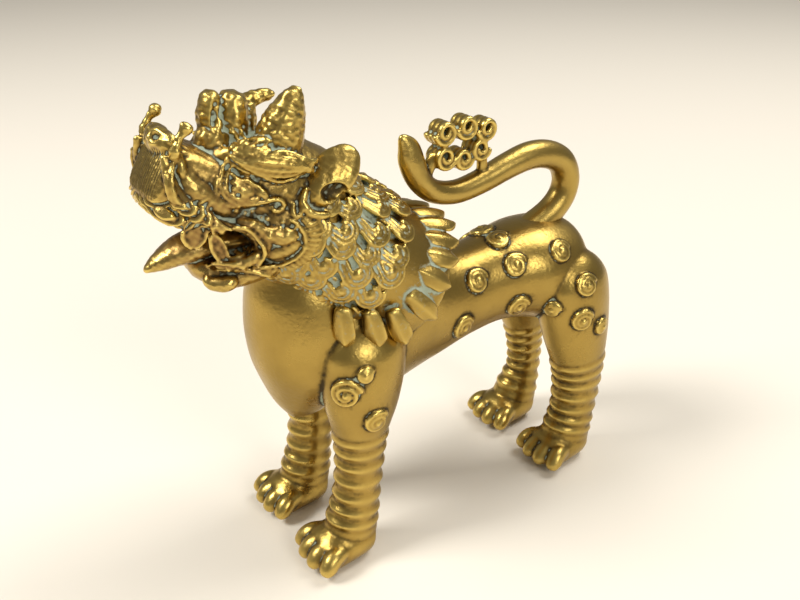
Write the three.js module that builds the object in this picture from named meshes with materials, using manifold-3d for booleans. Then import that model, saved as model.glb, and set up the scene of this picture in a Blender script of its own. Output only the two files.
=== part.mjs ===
// A brass guardian lion, cast in one piece. It stands on four paws with its head raised,
// its mouth open and its tongue out, a curled mane on its neck and its tail looped over its back.
// Millimetres, +Z up. The lion faces -Y and its left side is +X. The origin is on the ground
// under the middle of its bounding box.

import * as THREE from "three";
import { mergeVertices } from "three/addons/utils/BufferGeometryUtils.js";
import Module from "manifold-3d";

// Driving dimensions.
const HEIGHT = 150; // ground to the tip of the left horn
const DRAWN_HEIGHT = 150; // the height the tables below are drawn at
const CURL = 4.6; // radius of a spiral curl on the flanks
const CURL_RISE = 1.5; // how far a curl stands off the skin
const MANE_ROWS = 4; // of locks down the mane
const MANE_LOCKS = 12; // in each row, all round the neck
const LOCK_RISE = 2.4; // how far a lock stands off the mane at its end
const HEM_TIP = 4.5; // how far the last locks reach past the mane
const TOES = 4; // on each paw
const TOE_SPREAD = 5.6; // between the tips of neighbouring toes
const LEG_RIDGES = 4; // round each shin
const LEG_RIDGE = 0.7; // how far a ridge stands off the shin
const BRASS = { color: 0xb08d2e, roughness: 0.32, metalness: 1 };

const UP = new THREE.Vector3(0, 0, 1);
const BACK = new THREE.Vector3(0, 1, 0);
const ACROSS = new THREE.Vector3(1, 0, 0);

const wasm = await Module();
wasm.setup();

// Tables of the main forms. A station is [x, y, z, half width, half height] on a form's path.

const TORSO = [
  [0, -46, 76, 12, 15],
  [0, -38, 76, 18, 21],
  [0, -25, 75.5, 21, 24],
  [0, -10, 73.8, 18.5, 24],
  [0, 4, 72.3, 15.5, 18.6],
  [0, 18, 73, 13.8, 15.6],
  [0, 32, 74.7, 15, 15.3],
  [0, 46, 75, 18.5, 17.5],
  [0, 59, 72.5, 18.5, 18],
  [0, 69, 69.5, 13, 14],
];

const BREAST = [
  [0, -42, 46, 3.5, 3.5],
  [0, -39.5, 55, 10.5, 10.5],
  [0, -37.5, 66, 17, 16],
  [0, -36.5, 78, 19, 18],
  [0, -37, 90, 17, 17],
  [0, -38, 100, 13, 14],
  [0, -40, 110, 11, 12],
];

const MANE = [
  [0, -45, 115, 14.5, 14.5],
  [0, -34, 107.5, 19, 17.5],
  [0, -22, 98, 23, 19.5],
  [0, -11, 89.5, 24, 20],
  [0, -3, 83.5, 23.5, 20],
];

const FORE_LEG = [
  [15, -26, 84, 8.5, 13],
  [16.5, -27, 70, 10.5, 13.5],
  [16.5, -27.5, 57, 9.3, 12],
  [16, -28, 46, 7.8, 9],
  [15.8, -28.5, 35, 6.9, 7.6],
  [15.8, -30, 22, 6.9, 7.5],
  [15.8, -32, 12, 7.6, 8.6],
  [15.8, -33, 4, 8, 9],
];

const HIND_LEG = [
  [11.5, 57, 83, 9.5, 13],
  [13.5, 59, 68, 10.8, 14],
  [14.5, 61.5, 54, 9.8, 13],
  [15, 63.5, 42, 8.6, 10.8],
  [15.1, 64.2, 32, 7.7, 9.4],
  [15.1, 63.5, 20, 7.2, 8.8],
  [15.1, 61.5, 11, 7.8, 9.6],
  [15.1, 60, 4, 8, 10],
];

// The right hind leg is slimmer below the knee.
const RIGHT_HIND_LEG = [
  [-11.5, 57, 83, 9.5, 13],
  [-13.5, 59, 68, 10.6, 13.6],
  [-14.5, 62, 54, 9, 11.4],
  [-15, 64.4, 42, 7.2, 8.6],
  [-15.1, 65.4, 32, 6, 7],
  [-15.1, 65.4, 22, 5.8, 6.8],
  [-15.1, 62.5, 12, 7.4, 8.8],
  [-15.1, 60, 4, 8, 10],
];

const SHIN_SPAN = [0.42, 0.86]; // the ridged part of a leg, along its path
const MANE_SPAN = [0.06, 0.92]; // the locks, along the path of the mane

// The pad of a paw about its middle on the ground, and the middle line of one toe: its place
// aside is a share of the toe's place in the row, and outer toes lie further back.
const PAD = [
  [0, 14, 5, 6, 6],
  [0, 8, 6, 8, 7],
  [0, 0, 5.4, 8.8, 6.8],
  [0, -5.5, 4, 9, 5],
];
const TOE = [
  [0.62, 1.6, 6.2, 2.6],
  [0.84, -4.6, 6.6, 3.1],
  [0.97, -7.8, 4.6, 2.9],
  [1, -9.8, 2.2, 1.8],
];

const TAIL = [
  [0, 44, 84, 7, 7],
  [0, 52, 89, 5.2, 5.2],
  [0, 59, 93, 4.8, 4.8],
  [0, 63.5, 98, 4.7, 4.7],
  [0, 64.5, 104, 4.7, 4.7],
  [0, 61.5, 110, 4.7, 4.7],
  [0, 55, 113.5, 4.7, 4.7],
  [0, 47, 114.3, 4.6, 4.6],
  [0, 38, 112.5, 4.3, 4.3],
  [0, 28, 109.5, 4, 4],
  [0, 18, 107.8, 3.8, 3.8],
  [0, 9.5, 109.5, 3.7, 3.7],
  [0, 4, 114, 3.8, 3.8],
  [0, 1.2, 120, 4.2, 3.4],
  [0, -0.2, 124.8, 3.6, 2.4],
  [0, -3, 129.2, 1, 0.8],
];

const SKULL = [
  [0, -20, 111, 9, 9],
  [0, -31, 115.5, 14, 13.5],
  [0, -44, 121, 15.5, 15],
  [0, -56, 126, 13.5, 12.5],
  [0, -64, 129, 9, 8.5],
];

const SNOUT = [
  [0, -50, 120, 13.5, 10.5],
  [0, -60, 124, 13, 9.8],
  [0, -70, 129, 11.8, 9.3],
  [0, -77.5, 133.5, 10, 8.8],
];

const JAW = [
  [0, -38, 108, 13, 7],
  [0, -50, 104, 12.5, 5.5],
  [0, -61, 102, 10, 4.8],
  [0, -70, 106, 5, 2.8],
];

const TONGUE = [
  [0, -50, 110, 6, 2.6],
  [0, -61, 112, 6.6, 2.6],
  [0, -71, 111, 5.6, 2.3],
  [0, -81.5, 106, 0.8, 0.7],
];

const CHEEK = [
  [11, -28, 110, 4, 7],
  [12, -38, 112, 6, 11],
  [11, -49, 114, 5.5, 10],
  [8, -57, 112, 3, 5],
];

// The mouth, cut through from side to side behind the fangs, and the way its long axis slopes.
const MOUTH = [
  [-19, -62, 114.6, 6.6, 3],
  [0, -60.5, 112.6, 7, 3.6],
  [19, -62, 114.6, 6.6, 3],
];
const MOUTH_UP = new THREE.Vector3(0, 0.47, 0.88);

// Smaller forms. A pair is drawn on the left, and mirrored.
const SMALL_FORMS = [
  {
    name: "left horn",
    up: BACK,
    sides: 9,
    stations: [
      [7.5, -46.5, 131, 6.2],
      [8.6, -44.8, 138, 6.2],
      [9.6, -42.6, 144, 4.5],
      [10.6, -40.4, 150, 1.6],
    ],
  },
  {
    name: "right horn",
    up: BACK,
    sides: 8,
    stations: [
      [-7, -47, 131, 6],
      [-7.2, -45.4, 137, 5.2],
      [-6.9, -42, 141.8, 3.8],
      [-6.4, -38.2, 145.2, 1.8],
    ],
  },
  {
    name: "front roll of the crest",
    up: BACK,
    stations: [
      [0, -60, 137, 3.6, 2.6],
      [0, -58.8, 143, 4.2, 2.6],
      [0, -57.8, 149, 2.8, 2.2],
    ],
  },
  {
    name: "back roll of the crest",
    up: BACK,
    stations: [
      [0, -54.5, 136, 5, 4],
      [0, -53.4, 143, 5, 3.8],
      [0, -52.2, 148.6, 3.6, 2.8],
    ],
  },
  {
    name: "nose",
    up: UP,
    stations: [
      [-8, -71.6, 138, 2, 3],
      [0, -73.4, 139.4, 3, 3.6],
      [8, -71.6, 138, 2, 3],
    ],
  },
  {
    name: "forehead boss",
    up: UP,
    steps: 4,
    stations: [
      [0, -56, 135.5, 3.8, 3.8],
      [0, -60, 136.8, 4.4, 4.2],
      [0, -64.2, 136.6, 2.6, 2.6],
    ],
  },
  {
    name: "brow",
    pair: true,
    up: UP,
    sides: 8,
    steps: 6,
    stations: [
      [4, -62.8, 134.2, 2, 1.6],
      [9.5, -58.2, 135.6, 2.8, 3.8],
      [12.6, -51.6, 134.2, 3.2, 4.8],
      [14.2, -45, 132.8, 2.8, 3.8],
      [15.8, -38, 131.2, 0.7, 0.6],
    ],
  },
  {
    name: "eye",
    pair: true,
    up: UP,
    steps: 4,
    stations: [
      [11.4, -61, 126.4, 0.6, 0.6],
      [12.8, -57, 127.6, 1.9, 2.2],
      [13.2, -52.6, 128.6, 0.6, 0.6],
    ],
  },
  {
    name: "ear",
    pair: true,
    up: new THREE.Vector3(0.8, -0.5, 0.3),
    stations: [
      [13.6, -40.5, 119, 2.4, 2.2],
      [14.8, -36.4, 123.6, 4.6, 2.6],
      [14.6, -31.6, 127.8, 5.4, 2.2],
      [13.6, -27.8, 131, 4.2, 1.8],
      [12.8, -25.2, 133.2, 1.2, 0.8],
    ],
  },
  {
    name: "upper fang",
    pair: true,
    up: ACROSS,
    sides: 5,
    steps: 4,
    stations: [
      [11.2, -69.8, 126, 1.8, 1.4],
      [11.9, -70.6, 122.4, 3, 1.9],
      [11.6, -71.2, 116.6, 0.4, 0.4],
    ],
  },
  {
    name: "lower fang",
    pair: true,
    up: ACROSS,
    sides: 5,
    steps: 4,
    stations: [
      [9.8, -63.2, 105.5, 2.2, 1.6],
      [10.3, -64.6, 110, 1.9, 1.5],
      [10.4, -66.6, 116, 0.4, 0.4],
    ],
  },
  {
    name: "stem of the plume",
    up: ACROSS,
    sides: 5,
    steps: 4,
    stations: [
      [0, 5, 111, 2.2],
      [0, 7, 117, 2],
      [0, 10.5, 122, 2.2],
    ],
  },
  {
    name: "strut of the plume",
    up: ACROSS,
    sides: 5,
    steps: 3,
    stations: [
      [0, 28, 108, 1.8],
      [0, 27.4, 121, 1.7],
    ],
  },
  {
    name: "core of the plume",
    up: UP,
    sides: 8,
    stations: [
      [0, 8, 123, 3, 4],
      [0, 17.5, 124, 4.2, 6.2],
      [0, 27, 123, 3, 5],
    ],
  },
];

// Round scrolls of the plume, [x, y, z, radius].
const PLUME_SCROLLS = [
  [0, 27.2, 127.6, 3.2],
  [1, 19.6, 128.6, 3.6],
  [-0.6, 11.6, 128.2, 3.6],
  [1.2, 25, 121, 3.8],
  [-0.8, 19, 118.6, 3.6],
  [1, 12.6, 120.4, 4],
];

// Raised strands in space, [x, y, z, radius] along each, left and mirrored.
const STRANDS = {
  lip: [
    [9.4, -75.4, 138.6, 1.2],
    [11.4, -75, 131, 1.9],
    [12.4, -71.6, 125, 2],
    [13.2, -66.4, 120, 2],
    [14, -60.8, 117.4, 2],
    [15, -55.4, 118.8, 1.4],
  ],
  "ring of the mouth": [
    [13, -61, 119, 1.4],
    [14.4, -56, 117.4, 2.2],
    [14.6, -53.6, 113.4, 2.4],
    [13.6, -56.2, 109, 2.2],
    [12, -61.6, 107.6, 1.8],
    [9.6, -66.2, 107.6, 1.4],
  ],
  ruff: [
    [13.4, -39.7, 124, 2],
    [15.8, -38.1, 118.2, 2.7],
    [16.8, -39.5, 112.4, 3],
    [15.8, -43.7, 106.6, 2.9],
    [13.8, -50.2, 104, 2.6],
    [11.6, -59.1, 103.4, 2.2],
    [8, -66.4, 104, 1.4],
  ],
  whisker: [
    [8.6, -72.6, 134.6, 1.6],
    [11, -73.2, 138.6, 1.4],
    [10.6, -71.3, 142.4, 1.1],
    [9.6, -69.6, 143.6, 1.3],
    [9, -68.4, 143.2, 1.8],
    [8.6, -67.4, 142.4, 0.6],
  ],
};

// The band of teeth round the front of the upper jaw, from the left side to the middle.
const TEETH = [
  [10.4, -65, 118.6, 1.4],
  [11, -72.4, 121.2, 1.8],
  [9.6, -76.4, 123.2, 1.9],
  [5.2, -77.8, 124.2, 1.9],
  [0, -78.2, 124.6, 1.9],
];

// Curls on the left, by form: where they sit, [place along the form, degrees round it, radius].
const CURLS = {
  torso: [
    [0.678, 108, CURL],
    [0.68, 146, CURL],
    [0.565, 148, CURL],
    [0.502, 196, CURL],
    [0.678, 201, CURL],
    [0.8, 144, CURL],
  ],
  foreleg: [
    [0.195, 227, 1.15 * CURL],
    [0.318, 183, 0.95 * CURL],
    [0.138, 201, 0.62 * CURL],
  ],
  "hind leg": [
    [0.092, 190, CURL],
    [0.2, 203, CURL],
    [0.145, 247, 0.75 * CURL],
    [0.26, 170, 0.75 * CURL],
  ],
};
const RIGHT_CURLS = { torso: 3, foreleg: 1, "hind leg": 2 }; // how many of each the right side has

// Leaf-shaped locks over the left shoulder, each [x, y, z, half width, half thickness] from its root.
const SHOULDER_LOCKS = [
  [
    [21, -22, 90, 1.6, 1.2],
    [25.4, -17.5, 83, 3.2, 1.8],
    [26.4, -14.5, 75.5, 0.8, 0.8],
  ],
  [
    [19.4, -29, 92, 1.6, 1.2],
    [24.4, -25.5, 84, 3.2, 2],
    [25.4, -23.5, 75.5, 0.8, 0.8],
  ],
  [
    [13.6, -42.5, 103, 1.8, 1.6],
    [18.4, -40, 93, 2.6, 1.8],
    [22.2, -36.4, 84, 3, 2],
    [23.4, -35, 77.5, 1.6, 1.4],
  ],
];

// A closed surface over rings of points, with a single point closing each end.
function skin(rings, firstPole, lastPole) {
  const sides = rings[0].length;
  const points = [firstPole, ...rings.flat(), lastPole];
  const last = points.length - 1;
  const faces = [];
  for (let j = 0; j < sides; j++) {
    const k = (j + 1) % sides;
    faces.push([0, 1 + k, 1 + j]);
    for (let i = 0; i + 1 < rings.length; i++) {
      const a = 1 + i * sides;
      const b = a + sides;
      faces.push([a + j, a + k, b + k], [a + j, b + k, b + j]);
    }
    faces.push([last, last - sides + j, last - sides + k]);
  }
  let volume = 0;
  for (const [a, b, c] of faces) {
    volume += points[a].dot(new THREE.Vector3().crossVectors(points[b], points[c]));
  }
  const outward = volume > 0 ? faces : faces.map(([a, b, c]) => [a, c, b]);
  return new THREE.BufferGeometry().setFromPoints(points).setIndex(outward.flat());
}

const radians = THREE.MathUtils.degToRad;
const point = ([x, y, z]) => new THREE.Vector3(x, y, z);
const eased = (even) => even - Math.sin(2 * Math.PI * even) * 0.09; // closer together at both ends
const mirrored = (rows) => rows.map(([x, ...rest]) => [-x, ...rest]);

// A smooth body along a table of stations. Each cross section is a superellipse, upright against
// the vector up, and both ends close in a dome. A relief gives, for a place along the form and an
// angle round it, how far the surface rises and how far it moves along the path.
class Form {
  constructor(stations, { up = UP, sides = 6, steps = 5, square = 2, dome = 0.12, rings, relief } = {}) {
    const halves = stations.map(([, , , across, high = across]) => new THREE.Vector3(across, high, 0));
    this.path = new THREE.CatmullRomCurve3(stations.map(point), false, "catmullrom", 0.5);
    this.halves = new THREE.CatmullRomCurve3(halves, false, "catmullrom", 0.5);
    this.rings = rings ?? Array.from({ length: steps - 1 }, (_, i) => eased((i + 1) / steps));
    this.relief = relief ?? (() => [0, 0]);
    Object.assign(this, { up, sides, square, dome });
  }

  // The section's own axes at t, from 0 to 1 along the path.
  axes(t) {
    const along = this.path.getTangent(t);
    const across = new THREE.Vector3().crossVectors(this.up, along).normalize();
    const high = new THREE.Vector3().crossVectors(along, across).normalize();
    return { along, across, high };
  }

  // How much of the full section is left at t, by the domes at both ends.
  fullness(t) {
    const inside = Math.min(t, 1 - t) / this.dome;
    return inside < 1 ? Math.sqrt(Math.max(0, 1 - (1 - inside) ** 2)) : 1;
  }

  // The surface point at t and an angle round the section, from the across axis.
  at(t, angle) {
    const { along, across, high } = this.axes(t);
    const half = this.halves.getPoint(t);
    const [rise, shift] = this.relief(t, angle);
    const power = 2 / this.square;
    const c = Math.cos(angle);
    const s = Math.sin(angle);
    const full = this.fullness(t);
    const a = Math.sign(c) * Math.abs(c) ** power * half.x * full;
    const b = Math.sign(s) * Math.abs(s) ** power * half.y * full;
    const off = across.multiplyScalar(a).addScaledVector(high, b);
    off.setLength(off.length() + rise * full);
    return this.path.getPoint(t).add(off).addScaledVector(along, shift);
  }

  // The direction out of the surface, at right angles to the two ways it runs.
  out(t, angle) {
    const step = 0.01;
    const here = this.at(t, angle);
    const on = this.at(t + step, angle).sub(here);
    const round = this.at(t, angle + step).sub(here);
    const out = new THREE.Vector3().crossVectors(on, round).normalize();
    return out.dot(here.sub(this.path.getPoint(t))) < 0 ? out.negate() : out;
  }

  // The place some millimetres along and round the surface from t and angle, lifted off it.
  near(t, angle, along, round, lift) {
    const step = 0.01;
    const here = this.at(t, angle);
    const perT = this.at(t + step, angle).distanceTo(here) / step;
    const perAngle = this.at(t, angle + step).distanceTo(here) / step;
    const t2 = t + along / perT;
    const angle2 = angle + round / perAngle;
    const out = this.out(t2, angle2);
    return { at: this.at(t2, angle2).addScaledVector(out, lift), out };
  }

  geometry() {
    const turns = Array.from({ length: this.sides }, (_, j) => (2 * Math.PI * j) / this.sides);
    const rings = this.rings.map((t) => turns.map((angle) => this.at(t, angle)));
    return skin(rings, this.path.getPoint(0), this.path.getPoint(1));
  }
}

// A body along places of { at, out, wide, high }: an ellipse across the path, its height along out.
function sweep(places, sides) {
  const rings = [];
  for (let i = 1; i + 1 < places.length; i++) {
    const { at, out, wide, high } = places[i];
    const along = places[i + 1].at.clone().sub(places[i - 1].at).normalize();
    const across = new THREE.Vector3().crossVectors(out, along).normalize();
    const up = new THREE.Vector3().crossVectors(along, across).normalize();
    const ring = [];
    for (let j = 0; j < sides; j++) {
      const angle = (2 * Math.PI * j) / sides;
      const centre = at.clone().addScaledVector(across, wide * Math.cos(angle));
      ring.push(centre.addScaledVector(up, high * Math.sin(angle)));
    }
    rings.push(ring);
  }
  return skin(rings, places[0].at, places.at(-1).at);
}

// A round strand in space through rows of [x, y, z, radius].
function strand(rows, { sides = 4, steps = 6, out = ACROSS } = {}) {
  const path = new THREE.CatmullRomCurve3(rows.map(point), false, "catmullrom", 0.5);
  const radii = rows.map(([, , , radius]) => new THREE.Vector3(radius, 0, 0));
  const radius = new THREE.CatmullRomCurve3(radii, false, "catmullrom", 0.5);
  const places = [];
  for (let i = 0; i <= steps; i++) {
    const t = i / steps;
    const r = radius.getPoint(t).x;
    places.push({ at: path.getPoint(t), out, wide: r, high: r });
  }
  return sweep(places, sides);
}

// A curl on a form: a raised rim round a small knob.
function curl(form, t, degrees, radius) {
  const profile = [
    [1, -0.5 * CURL_RISE],
    [0.86, 0.8 * CURL_RISE],
    [0.5, 0],
  ];
  const angle = radians(degrees);
  const sides = 6;
  const rings = profile.map(([share, lift]) => {
    const ring = [];
    for (let j = 0; j < sides; j++) {
      const turn = (2 * Math.PI * j) / sides;
      const reach = share * radius;
      ring.push(form.near(t, angle, reach * Math.cos(turn), reach * Math.sin(turn), lift).at);
    }
    return ring;
  });
  const sunk = form.near(t, angle, 0, 0, -2 * CURL_RISE).at;
  const top = form.near(t, angle, 0, 0, 1.1 * CURL_RISE).at;
  return skin(rings, sunk, top);
}

// The relief of the mane: rows of locks like shingles, each rising towards its end. The last row
// runs on past the mane in leaf-shaped tips.
function maneRelief(t, angle) {
  const [start, end] = MANE_SPAN;
  const down = (MANE_ROWS * (t - start)) / (end - start);
  if (down < 0 || down >= MANE_ROWS) return [0, 0];
  const row = Math.floor(down);
  const turn = (MANE_LOCKS * angle) / (2 * Math.PI) + row / 3;
  const lock = Math.sin(Math.PI * (turn - Math.floor(turn)));
  const rise = (0.1 + 0.9 * lock) * LOCK_RISE * (1.3 * (down - row) - 0.3);
  return [rise, row === MANE_ROWS - 1 ? HEM_TIP * lock * (down - row) : 0];
}

// Where the rings of the mane lie: three to a row of locks, the last just before its end.
function maneRings() {
  const [start, end] = MANE_SPAN;
  const rings = [0.03];
  for (let row = 0; row < MANE_ROWS; row++) {
    for (const part of [0.04, 0.55, 0.96]) rings.push(start + ((row + part) / MANE_ROWS) * (end - start));
  }
  return [...rings, end + 0.005];
}

// The relief of a shin: ridges round it, strongest at the front and the back.
function shinRelief(t, angle) {
  const [start, end] = SHIN_SPAN;
  const down = (LEG_RIDGES * (t - start)) / (end - start);
  if (down < 0 || down > LEG_RIDGES) return [0, 0];
  const wave = 1 - Math.abs(2 * (down - Math.floor(down)) - 1);
  return [LEG_RIDGE * (2 * wave - 0.6) * (0.3 + 0.7 * Math.abs(Math.sin(angle))), 0];
}

function legRings() {
  const [start, end] = SHIN_SPAN;
  const rings = [0.05, 0.17, 0.3];
  for (let i = 0; i <= 2 * LEG_RIDGES; i++) rings.push(start + (i / (2 * LEG_RIDGES)) * (end - start));
  return [...rings, 0.92];
}

// A paw about a point on the ground, pointing along -Y: a pad and its toes.
function paw(x, y) {
  const pad = PAD.map(([dx, dy, z, ...half]) => [x + dx, y + dy, z, ...half]);
  const made = [new Form(pad, { sides: 10, steps: 5, dome: 0.15 }).geometry()];
  for (let i = 0; i < TOES; i++) {
    const k = i - (TOES - 1) / 2;
    const toe = TOE.map(([share, dy, z, radius]) => {
      return [x + share * k * TOE_SPREAD, y + dy + 0.8 * share * k * k, z, radius];
    });
    made.push(new Form(toe, { sides: 5, steps: 4, dome: 0.15 }).geometry());
  }
  return made;
}

// A geometry as a manifold-3d solid.
function solid(geometry) {
  const bare = new THREE.BufferGeometry();
  bare.setAttribute("position", geometry.getAttribute("position").clone());
  if (geometry.index) bare.setIndex(geometry.index);
  const merged = mergeVertices(bare, 1e-4);
  const mesh = new wasm.Mesh({
    numProp: 3,
    vertProperties: new Float32Array(merged.attributes.position.array),
    triVerts: new Uint32Array(merged.index.array),
  });
  return new wasm.Manifold(mesh);
}

// Some geometries joined into one solid.
function joined(geometries) {
  return geometries.map(solid).reduce((whole, body) => whole.add(body));
}

// The main forms.
const torso = new Form(TORSO, { sides: 13, steps: 10 });
const mane = new Form(MANE, {
  sides: 3 * MANE_LOCKS,
  rings: maneRings(),
  dome: 0.06,
  relief: maneRelief,
});
const leg = { up: BACK, sides: 8, rings: legRings(), relief: shinRelief };
const cheek = { sides: 7, steps: 4, dome: 0.2 };
let lion = joined([
  torso.geometry(),
  mane.geometry(),
  new Form(BREAST, { up: BACK, sides: 12, steps: 8 }).geometry(),
  new Form(SKULL, { sides: 11, steps: 7, dome: 0.15 }).geometry(),
  new Form(SNOUT, { sides: 12, steps: 5, square: 3, dome: 0.1 }).geometry(),
  new Form(JAW, { sides: 8, steps: 6 }).geometry(),
  new Form(CHEEK, cheek).geometry(),
  new Form(mirrored(CHEEK), cheek).geometry(),
]);
lion = lion.subtract(solid(new Form(MOUTH, { up: MOUTH_UP, sides: 8, steps: 3, dome: 0.05 }).geometry()));

// The tail, the tongue, the smaller forms, the teeth, and the scrolls of the plume.
const pieces = [
  new Form(TAIL, { up: ACROSS, sides: 6, steps: 22, dome: 0.02 }).geometry(),
  new Form(TONGUE, { sides: 6, steps: 6, dome: 0.04 }).geometry(),
];
for (const { stations, pair = false, ...shape } of SMALL_FORMS) {
  pieces.push(new Form(stations, shape).geometry());
  if (!pair) continue;
  const up = shape.up.clone().setX(-shape.up.x);
  pieces.push(new Form(mirrored(stations), { ...shape, up }).geometry());
}
for (const rows of Object.values(STRANDS)) {
  pieces.push(strand(rows), strand(mirrored(rows)));
}
pieces.push(strand([...TEETH, ...mirrored(TEETH.slice(0, -1)).reverse()], { steps: 8, out: UP }));
for (const [x, y, z, radius] of PLUME_SCROLLS) {
  pieces.push(new THREE.SphereGeometry(radius, 6, 4).translate(x, y, z));
}

// The left and right sides: legs, paws, curls and locks.
for (const side of [1, -1]) {
  const rows = side > 0 ? (table) => table : mirrored;
  const turn = side > 0 ? (degrees) => degrees : (degrees) => 180 - degrees;
  const foreleg = new Form(rows(FORE_LEG), leg);
  const hindLeg = new Form(side > 0 ? HIND_LEG : RIGHT_HIND_LEG, leg);
  pieces.push(foreleg.geometry(), hindLeg.geometry());
  pieces.push(...paw(15.8 * side, -39.2), ...paw(15.1 * side, 54.6));

  for (const [form, name] of [[torso, "torso"], [foreleg, "foreleg"], [hindLeg, "hind leg"]]) {
    const shown = side > 0 ? CURLS[name] : CURLS[name].slice(0, RIGHT_CURLS[name]);
    for (const [t, degrees, radius] of shown) pieces.push(curl(form, t, turn(degrees), radius));
  }
  for (const lock of SHOULDER_LOCKS) {
    const across = new THREE.Vector3(side, 0, 0);
    pieces.push(new Form(rows(lock), { up: across, sides: 4, steps: 4, dome: 0.1 }).geometry());
  }
}
lion = lion.add(joined(pieces));

// The soles are cut flat on the ground.
const ground = new THREE.BoxGeometry(200, 300, 20).translate(0, 0, -10);
lion = lion.subtract(solid(ground));

const { vertProperties, triVerts } = lion.getMesh();
const geometry = new THREE.BufferGeometry();
geometry.setAttribute("position", new THREE.BufferAttribute(new Float32Array(vertProperties), 3));
geometry.setIndex(new THREE.BufferAttribute(new Uint32Array(triVerts), 1));
geometry.scale(HEIGHT / DRAWN_HEIGHT, HEIGHT / DRAWN_HEIGHT, HEIGHT / DRAWN_HEIGHT);
geometry.computeBoundingBox();
const box = geometry.boundingBox;
geometry.translate(-(box.min.x + box.max.x) / 2, -(box.min.y + box.max.y) / 2, -box.min.z);

const part = new THREE.Group();
const body = new THREE.Mesh(geometry, new THREE.MeshStandardMaterial(BRASS));
body.name = "guardian_lion";
part.add(body);

export default part;
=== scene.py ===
"""A cast brass guardian lion: raised head, open mouth, curled mane, spiral curls on the flanks and a looped tail.

All shapes are worked out with numpy, in millimetres, in the sculptor's frame: the lion faces -Y, its left
side is +X and it stands on z = 0. Each piece is a heap of closed surfaces that are fused into one skin.
"""

from math import cos, pi, radians, sin

import bpy
import numpy as np
from mathutils import Matrix, Vector
from mathutils.bvhtree import BVHTree


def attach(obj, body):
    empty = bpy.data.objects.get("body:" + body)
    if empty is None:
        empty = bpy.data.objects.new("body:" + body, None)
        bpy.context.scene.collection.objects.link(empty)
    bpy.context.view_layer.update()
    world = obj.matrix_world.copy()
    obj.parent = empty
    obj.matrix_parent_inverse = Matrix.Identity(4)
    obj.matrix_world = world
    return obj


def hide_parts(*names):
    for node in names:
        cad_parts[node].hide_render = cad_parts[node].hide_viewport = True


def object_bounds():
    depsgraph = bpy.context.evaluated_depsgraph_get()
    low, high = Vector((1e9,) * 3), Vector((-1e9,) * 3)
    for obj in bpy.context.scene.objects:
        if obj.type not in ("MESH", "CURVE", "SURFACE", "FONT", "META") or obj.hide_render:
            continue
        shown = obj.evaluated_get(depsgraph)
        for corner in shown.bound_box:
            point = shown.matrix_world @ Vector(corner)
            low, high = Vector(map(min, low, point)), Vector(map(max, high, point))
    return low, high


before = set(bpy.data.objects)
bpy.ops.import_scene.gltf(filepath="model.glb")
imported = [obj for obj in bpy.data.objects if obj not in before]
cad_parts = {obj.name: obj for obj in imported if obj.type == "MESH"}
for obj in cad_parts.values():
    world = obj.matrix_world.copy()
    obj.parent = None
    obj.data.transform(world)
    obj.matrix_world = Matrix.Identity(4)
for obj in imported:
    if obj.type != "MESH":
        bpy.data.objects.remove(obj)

bl_info = {
    "name": "Brass guardian lion",
    "version": (1, 0, 0),
    "blender": (4, 5, 0),
    "location": "3D View > Sidebar > Lion",
    "description": "Builds a cast brass guardian lion around its packed model",
    "category": "Add Mesh",
}

CAD_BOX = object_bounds()
NODE = "guardian_lion"
BODY = "root"

MM = 0.001
SHIFT = np.array([-0.307, 3.221, 0.0])  # from the sculptor's frame to the part's frame
LONGEST = 0.1566  # the part's real length in metres, against which the frame is scaled
UP = (0, 0, 1)
BACK = (0, 1, 0)
ACROSS = (1, 0, 0)

# The photograph's camera, round its target in the sculptor's frame.
AZIMUTH = radians(56.6)
ELEVATION = radians(27)
DISTANCE = 272.3
LENS = 38.25  # mm, on a sensor 36 mm wide
SENSOR = 36
TARGET = np.array([-2.3, -1.5, 74.3])
PHOTO_SIZE = (800, 600)
VIEW_BACK = np.array([sin(AZIMUTH) * cos(ELEVATION), -cos(AZIMUTH) * cos(ELEVATION), sin(ELEVATION)])
VIEW_RIGHT = np.array([cos(AZIMUTH), sin(AZIMUTH), 0])
VIEW_UP = np.cross(VIEW_BACK, VIEW_RIGHT)
EYE = TARGET + VIEW_BACK * DISTANCE

# Tables of the main forms. A station is [x, y, z, half width, half height] on a form's path.

TORSO = [
    [0, -46, 76, 12, 15],
    [0, -38, 76, 18, 21],
    [0, -25, 75.5, 21, 24],
    [0, -10, 73.8, 18.5, 24],
    [0, 4, 72.3, 15.5, 18.6],
    [0, 18, 73, 13.8, 15.6],
    [0, 32, 74.7, 15, 15.3],
    [0, 46, 75, 18.5, 17.5],
    [0, 59, 72.5, 18.5, 18],
    [0, 69, 69.5, 13, 14],
]
BREAST = [
    [0, -42, 46, 3.5, 3.5],
    [0, -39.5, 55, 10.5, 10.5],
    [0, -37.5, 66, 17, 16],
    [0, -36.5, 78, 19, 18],
    [0, -37, 90, 17, 17],
    [0, -38, 100, 13, 14],
    [0, -40, 110, 11, 12],
]
MANE = [
    [0, -45, 115, 14.5, 14.5],
    [0, -34, 107.5, 19, 17.5],
    [0, -22, 98, 23, 19.5],
    [0, -11, 89.5, 24, 20],
    [0, -3, 83.5, 23.5, 20],
]
FORE_LEG = [
    [15, -26, 84, 8.5, 13],
    [16.5, -27, 70, 10.5, 13.5],
    [16.5, -27.5, 57, 9.3, 12],
    [16, -28, 46, 7.8, 9],
    [15.8, -28.5, 35, 6.9, 7.6],
    [15.8, -30, 22, 6.9, 7.5],
    [15.8, -32, 12, 7.6, 8.6],
    [15.8, -33, 4, 8, 9],
]
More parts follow.
